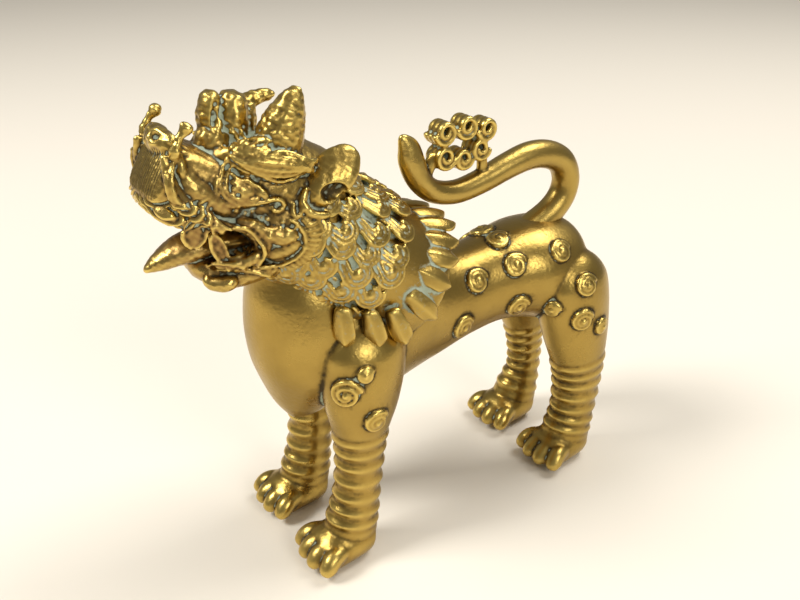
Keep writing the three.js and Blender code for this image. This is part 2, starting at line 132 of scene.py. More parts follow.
HIND_LEG = [
    [11.5, 57, 83, 9.5, 13],
    [13.5, 59, 68, 10.8, 14],
    [14.5, 61.5, 54, 9.8, 13],
    [15, 63.5, 42, 8.6, 10.8],
    [15.1, 64.2, 32, 7.7, 9.4],
    [15.1, 63.5, 20, 7.2, 8.8],
    [15.1, 61.5, 11, 7.8, 9.6],
    [15.1, 60, 4, 8, 10],
]
RIGHT_HIND_LEG = [
    [-11.5, 57, 83, 9.5, 13],
    [-13.5, 59, 68, 10.6, 13.6],
    [-14.5, 62, 54, 9, 11.4],
    [-15, 64.4, 42, 7.2, 8.6],
    [-15.1, 65.4, 32, 6, 7],
    [-15.1, 65.4, 22, 5.8, 6.8],
    [-15.1, 62.5, 12, 7.4, 8.8],
    [-15.1, 60, 4, 8, 10],
]
PAD = [
    [0, 14, 5, 6, 6],
    [0, 8, 6, 8, 7],
    [0, 0, 5.4, 8.8, 6.8],
    [0, -5.5, 4, 9, 5],
]
TOE = [
    [0.62, 1.6, 6.2, 2.6],
    [0.84, -4.6, 6.6, 3.1],
    [0.97, -7.8, 4.6, 2.9],
    [1, -9.8, 2.2, 1.8],
]
TAIL = [
    [0, 44, 84, 7, 7],
    [0, 52, 89, 5.2, 5.2],
    [0, 59, 93, 4.8, 4.8],
    [0, 63.5, 98, 4.7, 4.7],
    [0, 64.5, 104, 4.7, 4.7],
    [0, 61.5, 110, 4.7, 4.7],
    [0, 55, 113.5, 4.7, 4.7],
    [0, 47, 114.3, 4.6, 4.6],
    [0, 38, 112.5, 4.3, 4.3],
    [0, 28, 109.5, 4, 4],
    [0, 18, 107.8, 3.8, 3.8],
    [0, 9.5, 109.5, 3.7, 3.7],
    [0, 4, 114, 3.8, 3.8],
    [0, 1.2, 120, 4.2, 3.4],
    [0, -0.2, 124.8, 3.6, 2.4],
    [0, -3, 129.2, 1, 0.8],
]
SKULL = [
    [0, -20, 111, 9, 9],
    [0, -31, 115.5, 14, 13.5],
    [0, -44, 121, 15.5, 15],
    [0, -56, 126, 13.5, 12.5],
    [0, -64, 129, 9, 8.5],
]
SNOUT = [
    [0, -50, 120, 13.5, 10.5],
    [0, -60, 124, 13, 9.8],
    [0, -70, 129, 11.8, 9.3],
    [0, -77.5, 133.5, 10, 8.8],
]
JAW = [
    [0, -38, 108, 13, 7],
    [0, -50, 104, 12.5, 5.5],
    [0, -61, 102, 10, 4.8],
    [0, -70, 106, 5, 2.8],
]
TONGUE = [
    [0, -50, 110, 6, 2.6],
    [0, -61, 112, 6.6, 2.6],
    [0, -71, 111, 5.6, 2.3],
    [0, -81.5, 106, 0.8, 0.7],
]
CHEEK = [
    [11, -28, 110, 4, 7],
    [12, -38, 112, 6, 11],
    [11, -49, 114, 5.5, 10],
    [8, -57, 112, 3, 5],
]
MOUTH = [
    [-19, -62, 114.6, 6.6, 3],
    [0, -60.5, 112.6, 7, 3.6],
    [19, -62, 114.6, 6.6, 3],
]
MOUTH_UP = (0, 0.47, 0.88)

HEAD_STRANDS = {
    "lip": [[9.4, -75.4, 138.6, 1.2], [11.4, -75, 131, 1.9], [12.4, -71.6, 125, 2], [13.2, -66.4, 120, 2],
            [14, -60.8, 117.4, 2], [15, -55.4, 118.8, 1.4]],
    "mouth ring": [[13, -61, 119, 1.4], [14.4, -56, 117.4, 2.2], [14.6, -53.6, 113.4, 2.4], [13.6, -56.2, 109, 2.2],
                   [12, -61.6, 107.6, 1.8], [9.6, -66.2, 107.6, 1.4]],
}
TEETH = [
    [10.4, -65, 118.6, 1.4], [11, -72.4, 121.2, 1.8], [9.6, -76.4, 123.2, 1.9], [5.2, -77.8, 124.2, 1.9], [0, -78.2, 124.6, 1.9],
]

# Curls: where they sit on the left, [place along the form, degrees round it, share of the curl's radius].
CURLS = {
    "torso": [[0.678, 108, 1], [0.68, 146, 1], [0.565, 148, 1], [0.502, 196, 1], [0.678, 201, 1], [0.8, 144, 1]],
    "fore leg": [[0.195, 227, 1.15], [0.318, 183, 0.95], [0.138, 201, 0.62]],
    "hind leg": [[0.092, 190, 1], [0.2, 203, 1], [0.145, 247, 0.75], [0.26, 170, 0.75]],
}
RIGHT_CURLS = {"torso": 3, "fore leg": 1, "hind leg": 2}

# The leaves of the mane's hem on the left, each a root and a tip.
HEM_LEAVES = [
    [(3.5, -3, 106), (4, 10.5, 102.5)],
    [(9, -4, 105), (11, 9.5, 101.5)],
    [(14, -6, 103), (16.5, 6.5, 98.5)],
    [(18, -9, 100), (20.5, 3.5, 95)],
    [(21.5, -12, 97), (23.6, -1.5, 89.5)],
    [(23.5, -16, 91.5), (24.6, -7, 81.5)],
    [(23.6, -21.5, 88), (24.6, -17, 76.4)],
    [(22.4, -28, 89), (23, -25, 77)],
    [(20, -35, 91), (20.5, -34.4, 79)],
]


def unit(vectors):
    """Vectors at length one."""
    vectors = np.asarray(vectors, float)
    return vectors / np.maximum(np.linalg.norm(vectors, axis=-1, keepdims=True), 1e-9)


def catmull(rows, t):
    """Values at t, from 0 to 1, on the even Catmull-Rom curve through rows: cubic pieces whose slope at a row
    is half the step from the row before to the row after."""
    rows = np.asarray(rows, float)
    ends = np.vstack([2 * rows[0] - rows[1], rows, 2 * rows[-1] - rows[-2]])
    place = np.clip(np.asarray(t, float), 0, 1) * (len(rows) - 1)
    i = np.minimum(np.floor(place).astype(int), len(rows) - 2)
    w = (place - i)[..., None]
    a, b, c, d = ends[i], ends[i + 1], ends[i + 2], ends[i + 3]
    start, stop = (c - a) / 2, (d - b) / 2
    return b + start * w + (3 * c - 3 * b - 2 * start - stop) * w**2 + (2 * b - 2 * c + start + stop) * w**3


def mirrored(rows):
    """Rows on the other side of the plane x = 0."""
    return [[-row[0], *row[1:]] for row in rows]


def closed(rings, first, last):
    """A closed surface over rings of points, as points and triangles: each ring joins the next by two
    triangles a side, and a pole closes each end. Faces turn outwards, by the sign of the volume."""
    count, sides = rings.shape[:2]
    points = np.vstack([rings.reshape(-1, 3), first, last])
    a = (np.arange(count - 1)[:, None] * sides + np.arange(sides)).ravel()
    b = (np.arange(count - 1)[:, None] * sides + (np.arange(sides) + 1) % sides).ravel()
    j = np.arange(sides)
    k = (j + 1) % sides
    low = np.full(sides, count * sides)
    end = (count - 1) * sides
    faces = np.vstack([
        np.stack([a, b, b + sides], 1), np.stack([a, b + sides, a + sides], 1),
        np.stack([low, k, j], 1), np.stack([low + 1, end + j, end + k], 1),
    ])
    p, q, r = points[faces[:, 0]], points[faces[:, 1]], points[faces[:, 2]]
    volume = np.einsum("ij,ij->", p - points[0], np.cross(q - points[0], r - points[0]))
    return points, faces if volume > 0 else faces[:, ::-1]


class Form:
    """A smooth body along stations: superellipse sections upright against up, with domed ends. A relief gives,
    for t along the form and the angle round it, how far the surface rises off it."""

    def __init__(self, stations, up=UP, square=2, dome=0.12, relief=None):
        rows = np.array([list(row) + [row[3]] * (5 - len(row)) for row in stations], float)
        self.path, self.halves = rows[:, :3], rows[:, 3:]
        self.up, self.square, self.dome, self.relief = np.array(up, float), square, dome, relief

    def at(self, t, angle, lift=0):
        """Surface points: path(t) + a cos^p across + b sin^p high, p = 2 / square, plus relief and lift outwards."""
        t, angle = np.broadcast_arrays(np.asarray(t, float), np.asarray(angle, float))
        step = 1e-4
        along = unit(catmull(self.path, np.minimum(t + step, 1)) - catmull(self.path, np.maximum(t - step, 0)))
        across = unit(np.cross(self.up, along))
        high = np.cross(along, across)
        half = catmull(self.halves, t)
        inside = np.minimum(t, 1 - t) / self.dome
        full = np.where(inside < 1, np.sqrt(np.maximum(0, 1 - (1 - inside) ** 2)), 1)
        power = 2 / self.square
        c, s = np.cos(angle), np.sin(angle)
        a = np.sign(c) * np.abs(c) ** power * half[..., 0] * full
        b = np.sign(s) * np.abs(s) ** power * half[..., 1] * full
        off = across * a[..., None] + high * b[..., None]
        rise = lift + (self.relief(t, angle) * full if self.relief else 0)
        return catmull(self.path, t) + off + unit(off) * np.asarray(rise)[..., None]

    def skin(self, steps=90, sides=72):
        """The whole form as a closed surface, with rings closer together at both ends."""
        even = np.arange(1, steps) / steps
        t = even - np.sin(2 * pi * even) * 0.13
        angle = np.arange(sides) * 2 * pi / sides
        return closed(self.at(t[:, None], angle[None, :]), self.path[0], self.path[-1])


def tube(centres, out, wide, high=None, sides=12, ripple=None, blunt=(1, 1)):
    """A profile carried along centres: an ellipse, wide across the path and high along out, drawn in at both
    ends as a round cap. ripple, a function of length and angle, multiplies its radius."""
    centres = np.asarray(centres, float)
    count = len(centres)
    wide = np.broadcast_to(np.asarray(wide, float), (count,))
    high = wide if high is None else np.broadcast_to(np.asarray(high, float), (count,))
    along = unit(np.gradient(centres, axis=0))
    across = unit(np.cross(np.broadcast_to(np.asarray(out, float), centres.shape), along))
    up = np.cross(along, across)
    length = np.concatenate([[0], np.cumsum(np.linalg.norm(np.diff(centres, axis=0), axis=1))])
    radius = np.maximum(np.minimum(wide, high), 0.2)
    start = np.clip(length / radius, 0, 1) if blunt[0] else np.ones(count)
    stop = np.clip((length[-1] - length) / radius, 0, 1) if blunt[1] else np.ones(count)
    full = np.sqrt(np.maximum(1 - (1 - np.minimum(start, stop)) ** 2, 0.0004))
    angle = np.arange(sides) * 2 * pi / sides
    swell = ripple(length[:, None], angle[None, :]) if ripple else 1
    rings = (centres[:, None] + across[:, None] * (wide * full)[:, None, None] * (np.cos(angle) * swell)[..., None]
             + up[:, None] * (high * full)[:, None, None] * (np.sin(angle) * swell)[..., None])
    return closed(rings, centres[0], centres[-1])


def strand(rows, out=ACROSS, steps=40, flat=1, sides=12, ripple=None):
    """A round strand in space through rows of [x, y, z, radius]."""
    t = np.linspace(0, 1, steps)
    path = catmull(rows, t)
    return tube(path[:, :3], out, path[:, 3], path[:, 3] * flat, sides, ripple)


def ball(centre, radius, squash=(1, 1, 1)):
    """A sphere, or with squash an ellipsoid."""
    rise = np.linspace(-pi / 2, pi / 2, 12)[1:-1, None]
    turn = np.arange(16)[None, :] * 2 * pi / 16
    rings = np.stack(np.broadcast_arrays(np.cos(rise) * np.cos(turn), np.cos(rise) * np.sin(turn), np.sin(rise)), -1)
    size = radius * np.array(squash, float)
    centre = np.array(centre, float)
    return closed(centre + rings * size, centre - (0, 0, size[2]), centre + (0, 0, size[2]))


def mesh_of(name, surfaces):
    """One mesh from closed surfaces, each points and triangles."""
    mesh = bpy.data.meshes.new(name)
    starts = np.cumsum([0] + [len(points) for points, _ in surfaces])
    points = np.vstack([points for points, _ in surfaces])
    faces = np.vstack([faces + start for (_, faces), start in zip(surfaces, starts)])
    mesh.vertices.add(len(points))
    mesh.vertices.foreach_set("co", points.astype(np.float32).ravel())
    mesh.loops.add(faces.size)
    mesh.loops.foreach_set("vertex_index", faces.astype(np.int32).ravel())
    mesh.polygons.add(len(faces))
    mesh.polygons.foreach_set("loop_start", np.arange(0, faces.size, 3, dtype=np.int32))
    mesh.update(calc_edges=True)
    return mesh


def modified(mesh, kind, **values):
    """The mesh after one modifier."""
    bench = bpy.data.objects.new("bench", mesh)
    bpy.context.scene.collection.objects.link(bench)
    modifier = bench.modifiers.new(kind, kind)
    for key, value in values.items():
        setattr(modifier, key, value)
    graph = bpy.context.evaluated_depsgraph_get()
    made = bpy.data.meshes.new_from_object(bench.evaluated_get(graph))
    bpy.data.objects.remove(bench)
    bpy.data.meshes.remove(mesh)
    return made


def fused(surfaces, voxel):
    """Closed surfaces that run through each other, as one skin."""
    return modified(mesh_of("heap", surfaces), "REMESH", mode="VOXEL", voxel_size=voxel, adaptivity=0)


def carved(mesh, surfaces):
    """A fused skin with closed surfaces cut out of it."""
    tool = bpy.data.objects.new("tool", fused(surfaces, 0.5))
    bpy.context.scene.collection.objects.link(tool)
    made = modified(mesh, "BOOLEAN", operation="DIFFERENCE", object=tool, solver="MANIFOLD")
    bpy.data.meshes.remove(tool.data)
    return made


def read_points(mesh):
    """The mesh's points as rows."""
    points = np.empty(len(mesh.vertices) * 3, np.float32)
    mesh.vertices.foreach_get("co", points)
    return points.reshape(-1, 3).astype(float)


def surface_of(mesh):
    """The mesh as points and triangles."""
    mesh.calc_loop_triangles()
    faces = np.empty(len(mesh.loop_triangles) * 3, np.int32)
    mesh.loop_triangles.foreach_get("vertices", faces)
    return read_points(mesh), faces.reshape(-1, 3)


def normals_of(mesh):
    """The mesh's vertex normals as rows."""
    normals = np.empty(len(mesh.vertices) * 3, np.float32)
    mesh.vertices.foreach_get("normal", normals)
    return normals.reshape(-1, 3).astype(float)


class Spread:
    """Averages over the neighbours of each vertex: the sum over its edges, divided by their number."""

    def __init__(self, mesh):
        edges = np.empty(len(mesh.edges) * 2, np.int32)
        mesh.edges.foreach_get("vertices", edges)
        self.a, self.b = edges.reshape(-1, 2).T
        self.count = len(mesh.vertices)
        self.degree = np.maximum(np.bincount(self.a, minlength=self.count) + np.bincount(self.b, minlength=self.count), 1)

    def mean(self, values):
        columns = values.reshape(self.count, -1).T
        summed = [np.bincount(self.a, c[self.b], self.count) + np.bincount(self.b, c[self.a], self.count) for c in columns]
        return (np.stack(summed, 1) / self.degree[:, None]).reshape(values.shape)

    def smoothed(self, values, times, share=0.5):
        for _ in range(times):
            values = values + share * (self.mean(values) - values)
        return values


class Clay:
    """A piece in the making. Its base is fused first, so that relief can be laid on it."""

    def __init__(self, base, holes=(), voxel=0.6):
        mesh = fused(base, voxel)
        if holes:
            mesh = carved(mesh, list(holes))
        points, faces = surface_of(mesh)
        self.tree = BVHTree.FromPolygons(points.tolist(), faces.tolist())
        self.surfaces = [(points, faces)]
        bpy.data.meshes.remove(mesh)

    def snap(self, points):
        """The nearest places on the base, and the ways out of it, evened out along the row."""
        found = [self.tree.find_nearest(Vector(point)) for point in np.asarray(points, float).tolist()]
        places = np.array([f[0] for f in found])
        outs = np.array([f[1] for f in found])
        if len(outs) > 4:
            padded = np.vstack([outs[:1]] * 2 + [outs] + [outs[-1:]] * 2)
            outs = sum(padded[i:i + len(outs)] for i in range(5))
        return places, unit(outs)

    def add(self, *surfaces):
        self.surfaces.extend(surfaces)

    def seen(self, pixels):
        """The places on the base that the photograph shows at some of its pixels: where the camera's rays meet
        it, or the nearest place to a ray that misses."""
        places = []
        for x, y in pixels:
            focal = LENS / SENSOR * PHOTO_SIZE[0]
            ray = unit(VIEW_RIGHT * (x - PHOTO_SIZE[0] / 2) - VIEW_UP * (y - PHOTO_SIZE[1] / 2) - VIEW_BACK * focal)
            hit = self.tree.ray_cast(Vector(EYE), Vector(ray))[0]
            if hit is None:
                tries = [self.tree.find_nearest(Vector(EYE + ray * far)) for far in np.linspace(0.7, 1.3, 61) * DISTANCE]
                hit = min(tries, key=lambda found: found[3])[0]
            places.append(list(hit))
        return places

    def trace(self, pixels, radius=0.5, lift=0.2, sides_of=(1, -1), **style):
        """A wire laid on the base along pixels of the photograph, and mirrored. A third number is the share
        of the radius."""
        places = self.seen([pixel[:2] for pixel in pixels])
        rows = [[*place, *(pixel[2:] or (1,))] for place, pixel in zip(places, pixels)]
        for side in sides_of:
            self.wire([[row[0] * side, *row[1:]] for row in rows], radius, lift, **style)

    def wire(self, rows, radius=0.55, lift=0.2, steps=40, flat=1.0, taper=0.0, sides=10, ripple=None):
        """A strand laid on the base along rows of [x, y, z] with an optional share of the radius after them."""
        shares = [row[3] if len(row) > 3 else 1 for row in rows]
        path = catmull([list(row[:3]) + [share] for row, share in zip(rows, shares)], np.linspace(0, 1, steps))
        places, outs = self.snap(path[:, :3])
        thick = radius * path[:, 3] * (1 - taper * np.linspace(0, 1, steps) ** 3)
        self.add(tube(places + outs * lift, outs, thick, thick * flat, sides, ripple))

    def frame_at(self, centre, heading):
        """The place on the base nearest centre, with the ways out, along heading and across it."""
        places, outs = self.snap([centre])
        out = outs[0]
        along = unit(np.array(heading, float) - out * np.dot(heading, out))
        return places[0], out, along, np.cross(out, along)

    def drawn(self, centre, heading, x, y, lift):
        """Points drawn on the base: x along heading and y to its left, in a plane, then laid down and lifted."""
        place, out, along, aside = self.frame_at(centre, heading)
        flat = place + along * np.asarray(x)[:, None] + aside * np.asarray(y)[:, None]
        places, outs = self.snap(flat)
        return places + outs * np.asarray(lift)[:, None], outs

    def curl(self, centre, radius, turns=2.4, rise=1.3, thick=0.62, heading=BACK, hand=1):
        """A spiral wire on a low round pad: its radius shrinks evenly with its turns while it rises."""
        s = np.linspace(0, 1, 70)
        reach = (radius - thick) * (1 - s) + 0.5 * s
        turn = hand * 2 * pi * turns * s
        lift = 0.25 * rise + 0.6 * rise * np.sqrt(s)
        path, outs = self.drawn(centre, heading, reach * np.cos(turn), reach * np.sin(turn), lift)
        self.add(tube(path, outs, thick * (1.1 - 0.25 * s)))
        place, out, _, _ = self.frame_at(centre, heading)
        self.add(tube(place + out * np.linspace(-1.5, 0.75 * rise, 12)[:, None], heading,
                      radius * np.sqrt(1 - 0.75 * np.linspace(0, 1, 12) ** 2), sides=28))
        self.add(ball(place + out * 0.85 * rise, 0.95))


def finished(clay, name, voxel, triangles, zone=None, press=None):
    """The clay as a finished piece: fused, evened, its hollows and worn heights measured, and thinned out.
    hollow and worn compare each point with its neighbourhood's mean, along the normal, at two widths."""
    for points, _ in clay.surfaces:
        np.maximum(points[:, 2], 0, out=points[:, 2])
    mesh = fused(clay.surfaces, voxel)
    spread = Spread(mesh)
    points = spread.smoothed(read_points(mesh), 2)
    mesh.vertices.foreach_set("co", points.astype(np.float32).ravel())
    mesh.update()
    normals = unit(spread.smoothed(normals_of(mesh), 2))
    if press:
        points = points + normals * press(points)[:, None]
        mesh.vertices.foreach_set("co", points.astype(np.float32).ravel())
    near = spread.smoothed(points, 8)
    wide = spread.smoothed(near, 60)
    fine = np.einsum("ij,ij->i", near - points, normals)
    broad = np.einsum("ij,ij->i", wide - points, normals)
    masks = {
        "hollow": np.clip(fine / 0.12 + broad / 0.7, 0, 1.5),
        "worn": np.clip(-fine / 0.14 - broad / 1.6, 0, 1.5),
    }
    masks.update(zone(points) if zone else {})
    for key, values in masks.items():
        layer = mesh.attributes.new(key, "FLOAT", "POINT")
        layer.data.foreach_set("value", values.astype(np.float32))
    count = sum(len(p.vertices) - 2 for p in mesh.polygons) if len(mesh.polygons) < 1000 else 2 * len(mesh.polygons)
    if count > triangles:
        mesh = modified(mesh, "DECIMATE", ratio=triangles / count)
    low, high = (np.array(corner) for corner in CAD_BOX)
    points = (read_points(mesh) + SHIFT) * MM
    points = np.clip(points, low, high)
    mesh.vertices.foreach_set("co", points.astype(np.float32).ravel())
    mesh.polygons.foreach_set("use_smooth", np.ones(len(mesh.polygons), bool))
    mesh.update()
    mesh.name = name
    piece = bpy.data.objects.new(name, mesh)
    bpy.context.scene.collection.objects.link(piece)
    print(name, len(mesh.polygons), "faces")
    return piece


def near_zone(points, centre, radii):
    """A soft ball: 1 at its centre, 0 past its radii, along the cosine between."""
    far = np.linalg.norm((points - np.array(centre, float)) / np.array(radii, float), axis=1)
    return 0.5 + 0.5 * np.cos(pi * np.clip(far, 0, 1))


def shin_relief(count, height, span=(0.42, 0.86)):
    """Ridges round a shin: count triangle waves along the span, strongest at the front and the back."""
    def relief(t, angle):
        down = count * (t - span[0]) / (span[1] - span[0])
        wave = 1 - np.abs(2 * (down - np.floor(down)) - 1)
        ridge = height * (1.6 * wave**1.5 - 0.5) * (0.35 + 0.65 * np.abs(np.sin(angle)))
        return np.where((down > 0) & (down < count), ridge, 0)
    return relief


def paw(x, y, spread, toes=4):
    """A paw about a point on the ground, pointing along -Y: a pad and its toes, the outer ones further back."""
    pad = [[x + dx, y + dy, *rest] for dx, dy, *rest in PAD]
    surfaces = [Form(pad, dome=0.15).skin(50, 48)]
    for i in range(toes):
        k = i - (toes - 1) / 2
        toe = [[x + share * k * spread, y + dy + 0.8 * share * k * k, *rest] for share, dy, *rest in TOE]
        surfaces.append(Form(toe, dome=0.15).skin(40, 32))
    return surfaces


def build_body(sizes):
    """Torso, breast, neck, legs and paws, with the curls of the flanks, the collar and the tufts."""
    torso = Form(TORSO)
    relief = shin_relief(sizes.shin_ridges, sizes.shin_ridge)
    base = [torso.skin(120, 96), Form(BREAST, up=BACK).skin(), Form(MANE, dome=0.06).skin()]
    limbs = {}
    for side in (1, -1):
        rows = (lambda table: table) if side > 0 else mirrored
        limbs[side, "fore leg"] = Form(rows(FORE_LEG), up=BACK, relief=relief)
        limbs[side, "hind leg"] = Form(HIND_LEG if side > 0 else RIGHT_HIND_LEG, up=BACK, relief=relief)
        base += [limbs[side, "fore leg"].skin(140, 64), limbs[side, "hind leg"].skin(140, 64)]
        base += paw(15.8 * side, -39.2, sizes.toe_spread) + paw(15.1 * side, 54.6, sizes.toe_spread)
    clay = Clay(base, voxel=0.55)
    for side in (1, -1):
        for name, rows in CURLS.items():
            form = torso if name == "torso" else limbs[side, name]
            for t, degrees, share in rows if side > 0 else rows[:RIGHT_CURLS[name]]:
                angle = radians(degrees if side > 0 else 180 - degrees)
                clay.curl(form.at(t, angle), share * sizes.curl_radius, rise=sizes.curl_rise, hand=side)
    return finished(clay, "guardian_lion_body", sizes.body_grain, 198000, body_zone)


def body_zone(points):
    return {
        "copper": np.zeros(len(points)),
        "green": 0.35 * near_zone(points, (0, -45, 95), (30, 30, 22)) + 0.5 * np.clip(1 - points[:, 2] / 12, 0, 1),
    }


def mane_lock(clay, centre, heading, hand, size=1.0, run=8.5):
    """A lock: three strands side by side that run along heading, then turn together round a ball."""
    for reach, sweep in ((1.1, 300), (2.35, 235), (3.6, 165)):
        reach = reach * size
        s = np.linspace(0, 1, 20)
        x = -run * size * (1 - s)
        y = -hand * (reach - 1.6 * size * np.sin(pi * (1 - s)) * (1 - s))
        turn = np.radians(np.linspace(0, sweep, 30))[1:]
        x = np.concatenate([x, reach * np.sin(turn)])
        y = np.concatenate([y, -hand * reach * np.cos(turn)])
        lift = np.concatenate([0.1 + 2.0 * s * size, np.linspace(2.0, 1.7, 29) * size])
        path, outs = clay.drawn(centre, heading, x, y, lift)
        clay.add(tube(path, outs, 0.66 * size, 0.85 * size, sides=10))
    place, out, along, aside = clay.frame_at(centre, heading)
    clay.add(ball(place + out * 1.9 * size, 1.2 * size))
    pad = np.linspace(0, 1, 14)
    path = place + along * (-run * size * (1 - pad))[:, None] + out * (1.1 * size * pad - 0.9)[:, None]
    clay.add(tube(path - aside * hand * 0.6, out, 2.8 * size * (0.7 + 0.3 * pad), 1.3 * size, sides=16))


def leaf(root, tip, out, wide, thick, bow=1.0):
    """A leaf from root to tip: a flat strap that is widest past its middle, bowed outwards, with a raised midrib."""
    s = np.linspace(0, 1, 30)
    root, tip, out = (np.array(v, float) for v in (root, tip, out))
    path = root + (tip - root) * s[:, None] + out * (bow * np.sin(pi * s))[:, None]
    width = wide * (0.75 + 0.45 * np.sin(pi * np.clip(s * 0.8 + 0.05, 0, 1))) * np.sqrt(np.clip((1 - s) * 4, 0, 1))
    rib = lambda length, angle: 1 + 0.35 * np.exp(-((angle - pi / 2) / 0.35) ** 2)
    return tube(path, out, np.maximum(width, 0.4), thick, 20, rib)


def build_mane(sizes):
    """The mane: rows of curled locks over a smooth core, and long leaves round its hem."""
    form = Form(MANE, dome=0.06)
    clay = Clay([form.skin()], voxel=0.6)
    rows, count = sizes.mane_rows, sizes.mane_locks
    draw = np.random.default_rng(11)
    for row in range(rows):
        for i in range(count):
            degrees = (360 * (i + 0.5 * (row % 2)) / count + draw.uniform(-4, 4)) % 360
            t = 0.1 + 0.38 * row / max(rows - 1, 1) + draw.uniform(-0.012, 0.012)
            if 240 < degrees < 300 and t > 0.25:
                continue
            angle = radians(degrees)
            heading = form.at(t + 0.05, angle) - form.at(t - 0.05, angle)
            hand = 1 if 90 < degrees < 270 else -1
            aside = np.cross(form.at(t, angle) - catmull(MANE, t)[:3], heading)
            heading = unit(heading) - unit(aside) * hand * draw.uniform(-0.1, 0.45)
            mane_lock(clay, form.at(t, angle), heading, hand, draw.uniform(0.86, 1.05))
    for side in (1, -1):
        for root, tip in HEM_LEAVES:
            root = np.array(root) * (side, 1, 1)
            tip = np.array(tip) * (side, 1, 1)
            out = unit(clay.snap([(root + tip) / 2])[1][0])
            clay.add(leaf(root - out * 0.5, tip, out, 2.7, 1.3))
    return finished(clay, "guardian_lion_mane", sizes.mane_grain, 198000, mane_zone)


def mane_zone(points):
    return {
        "copper": np.zeros(len(points)),
        "green": np.clip(1.1 - near_zone(points, (0, 12, 90), (45, 40, 45)) * 1.2, 0, 1),
    }


def rope(pitch, depth, skew=1.0):
    """A ripple for a tube: the radius waves along its length, the waves leaning round it by skew."""
    return lambda length, angle: 1 + depth * np.cos(2 * pi * length / pitch + skew * angle)


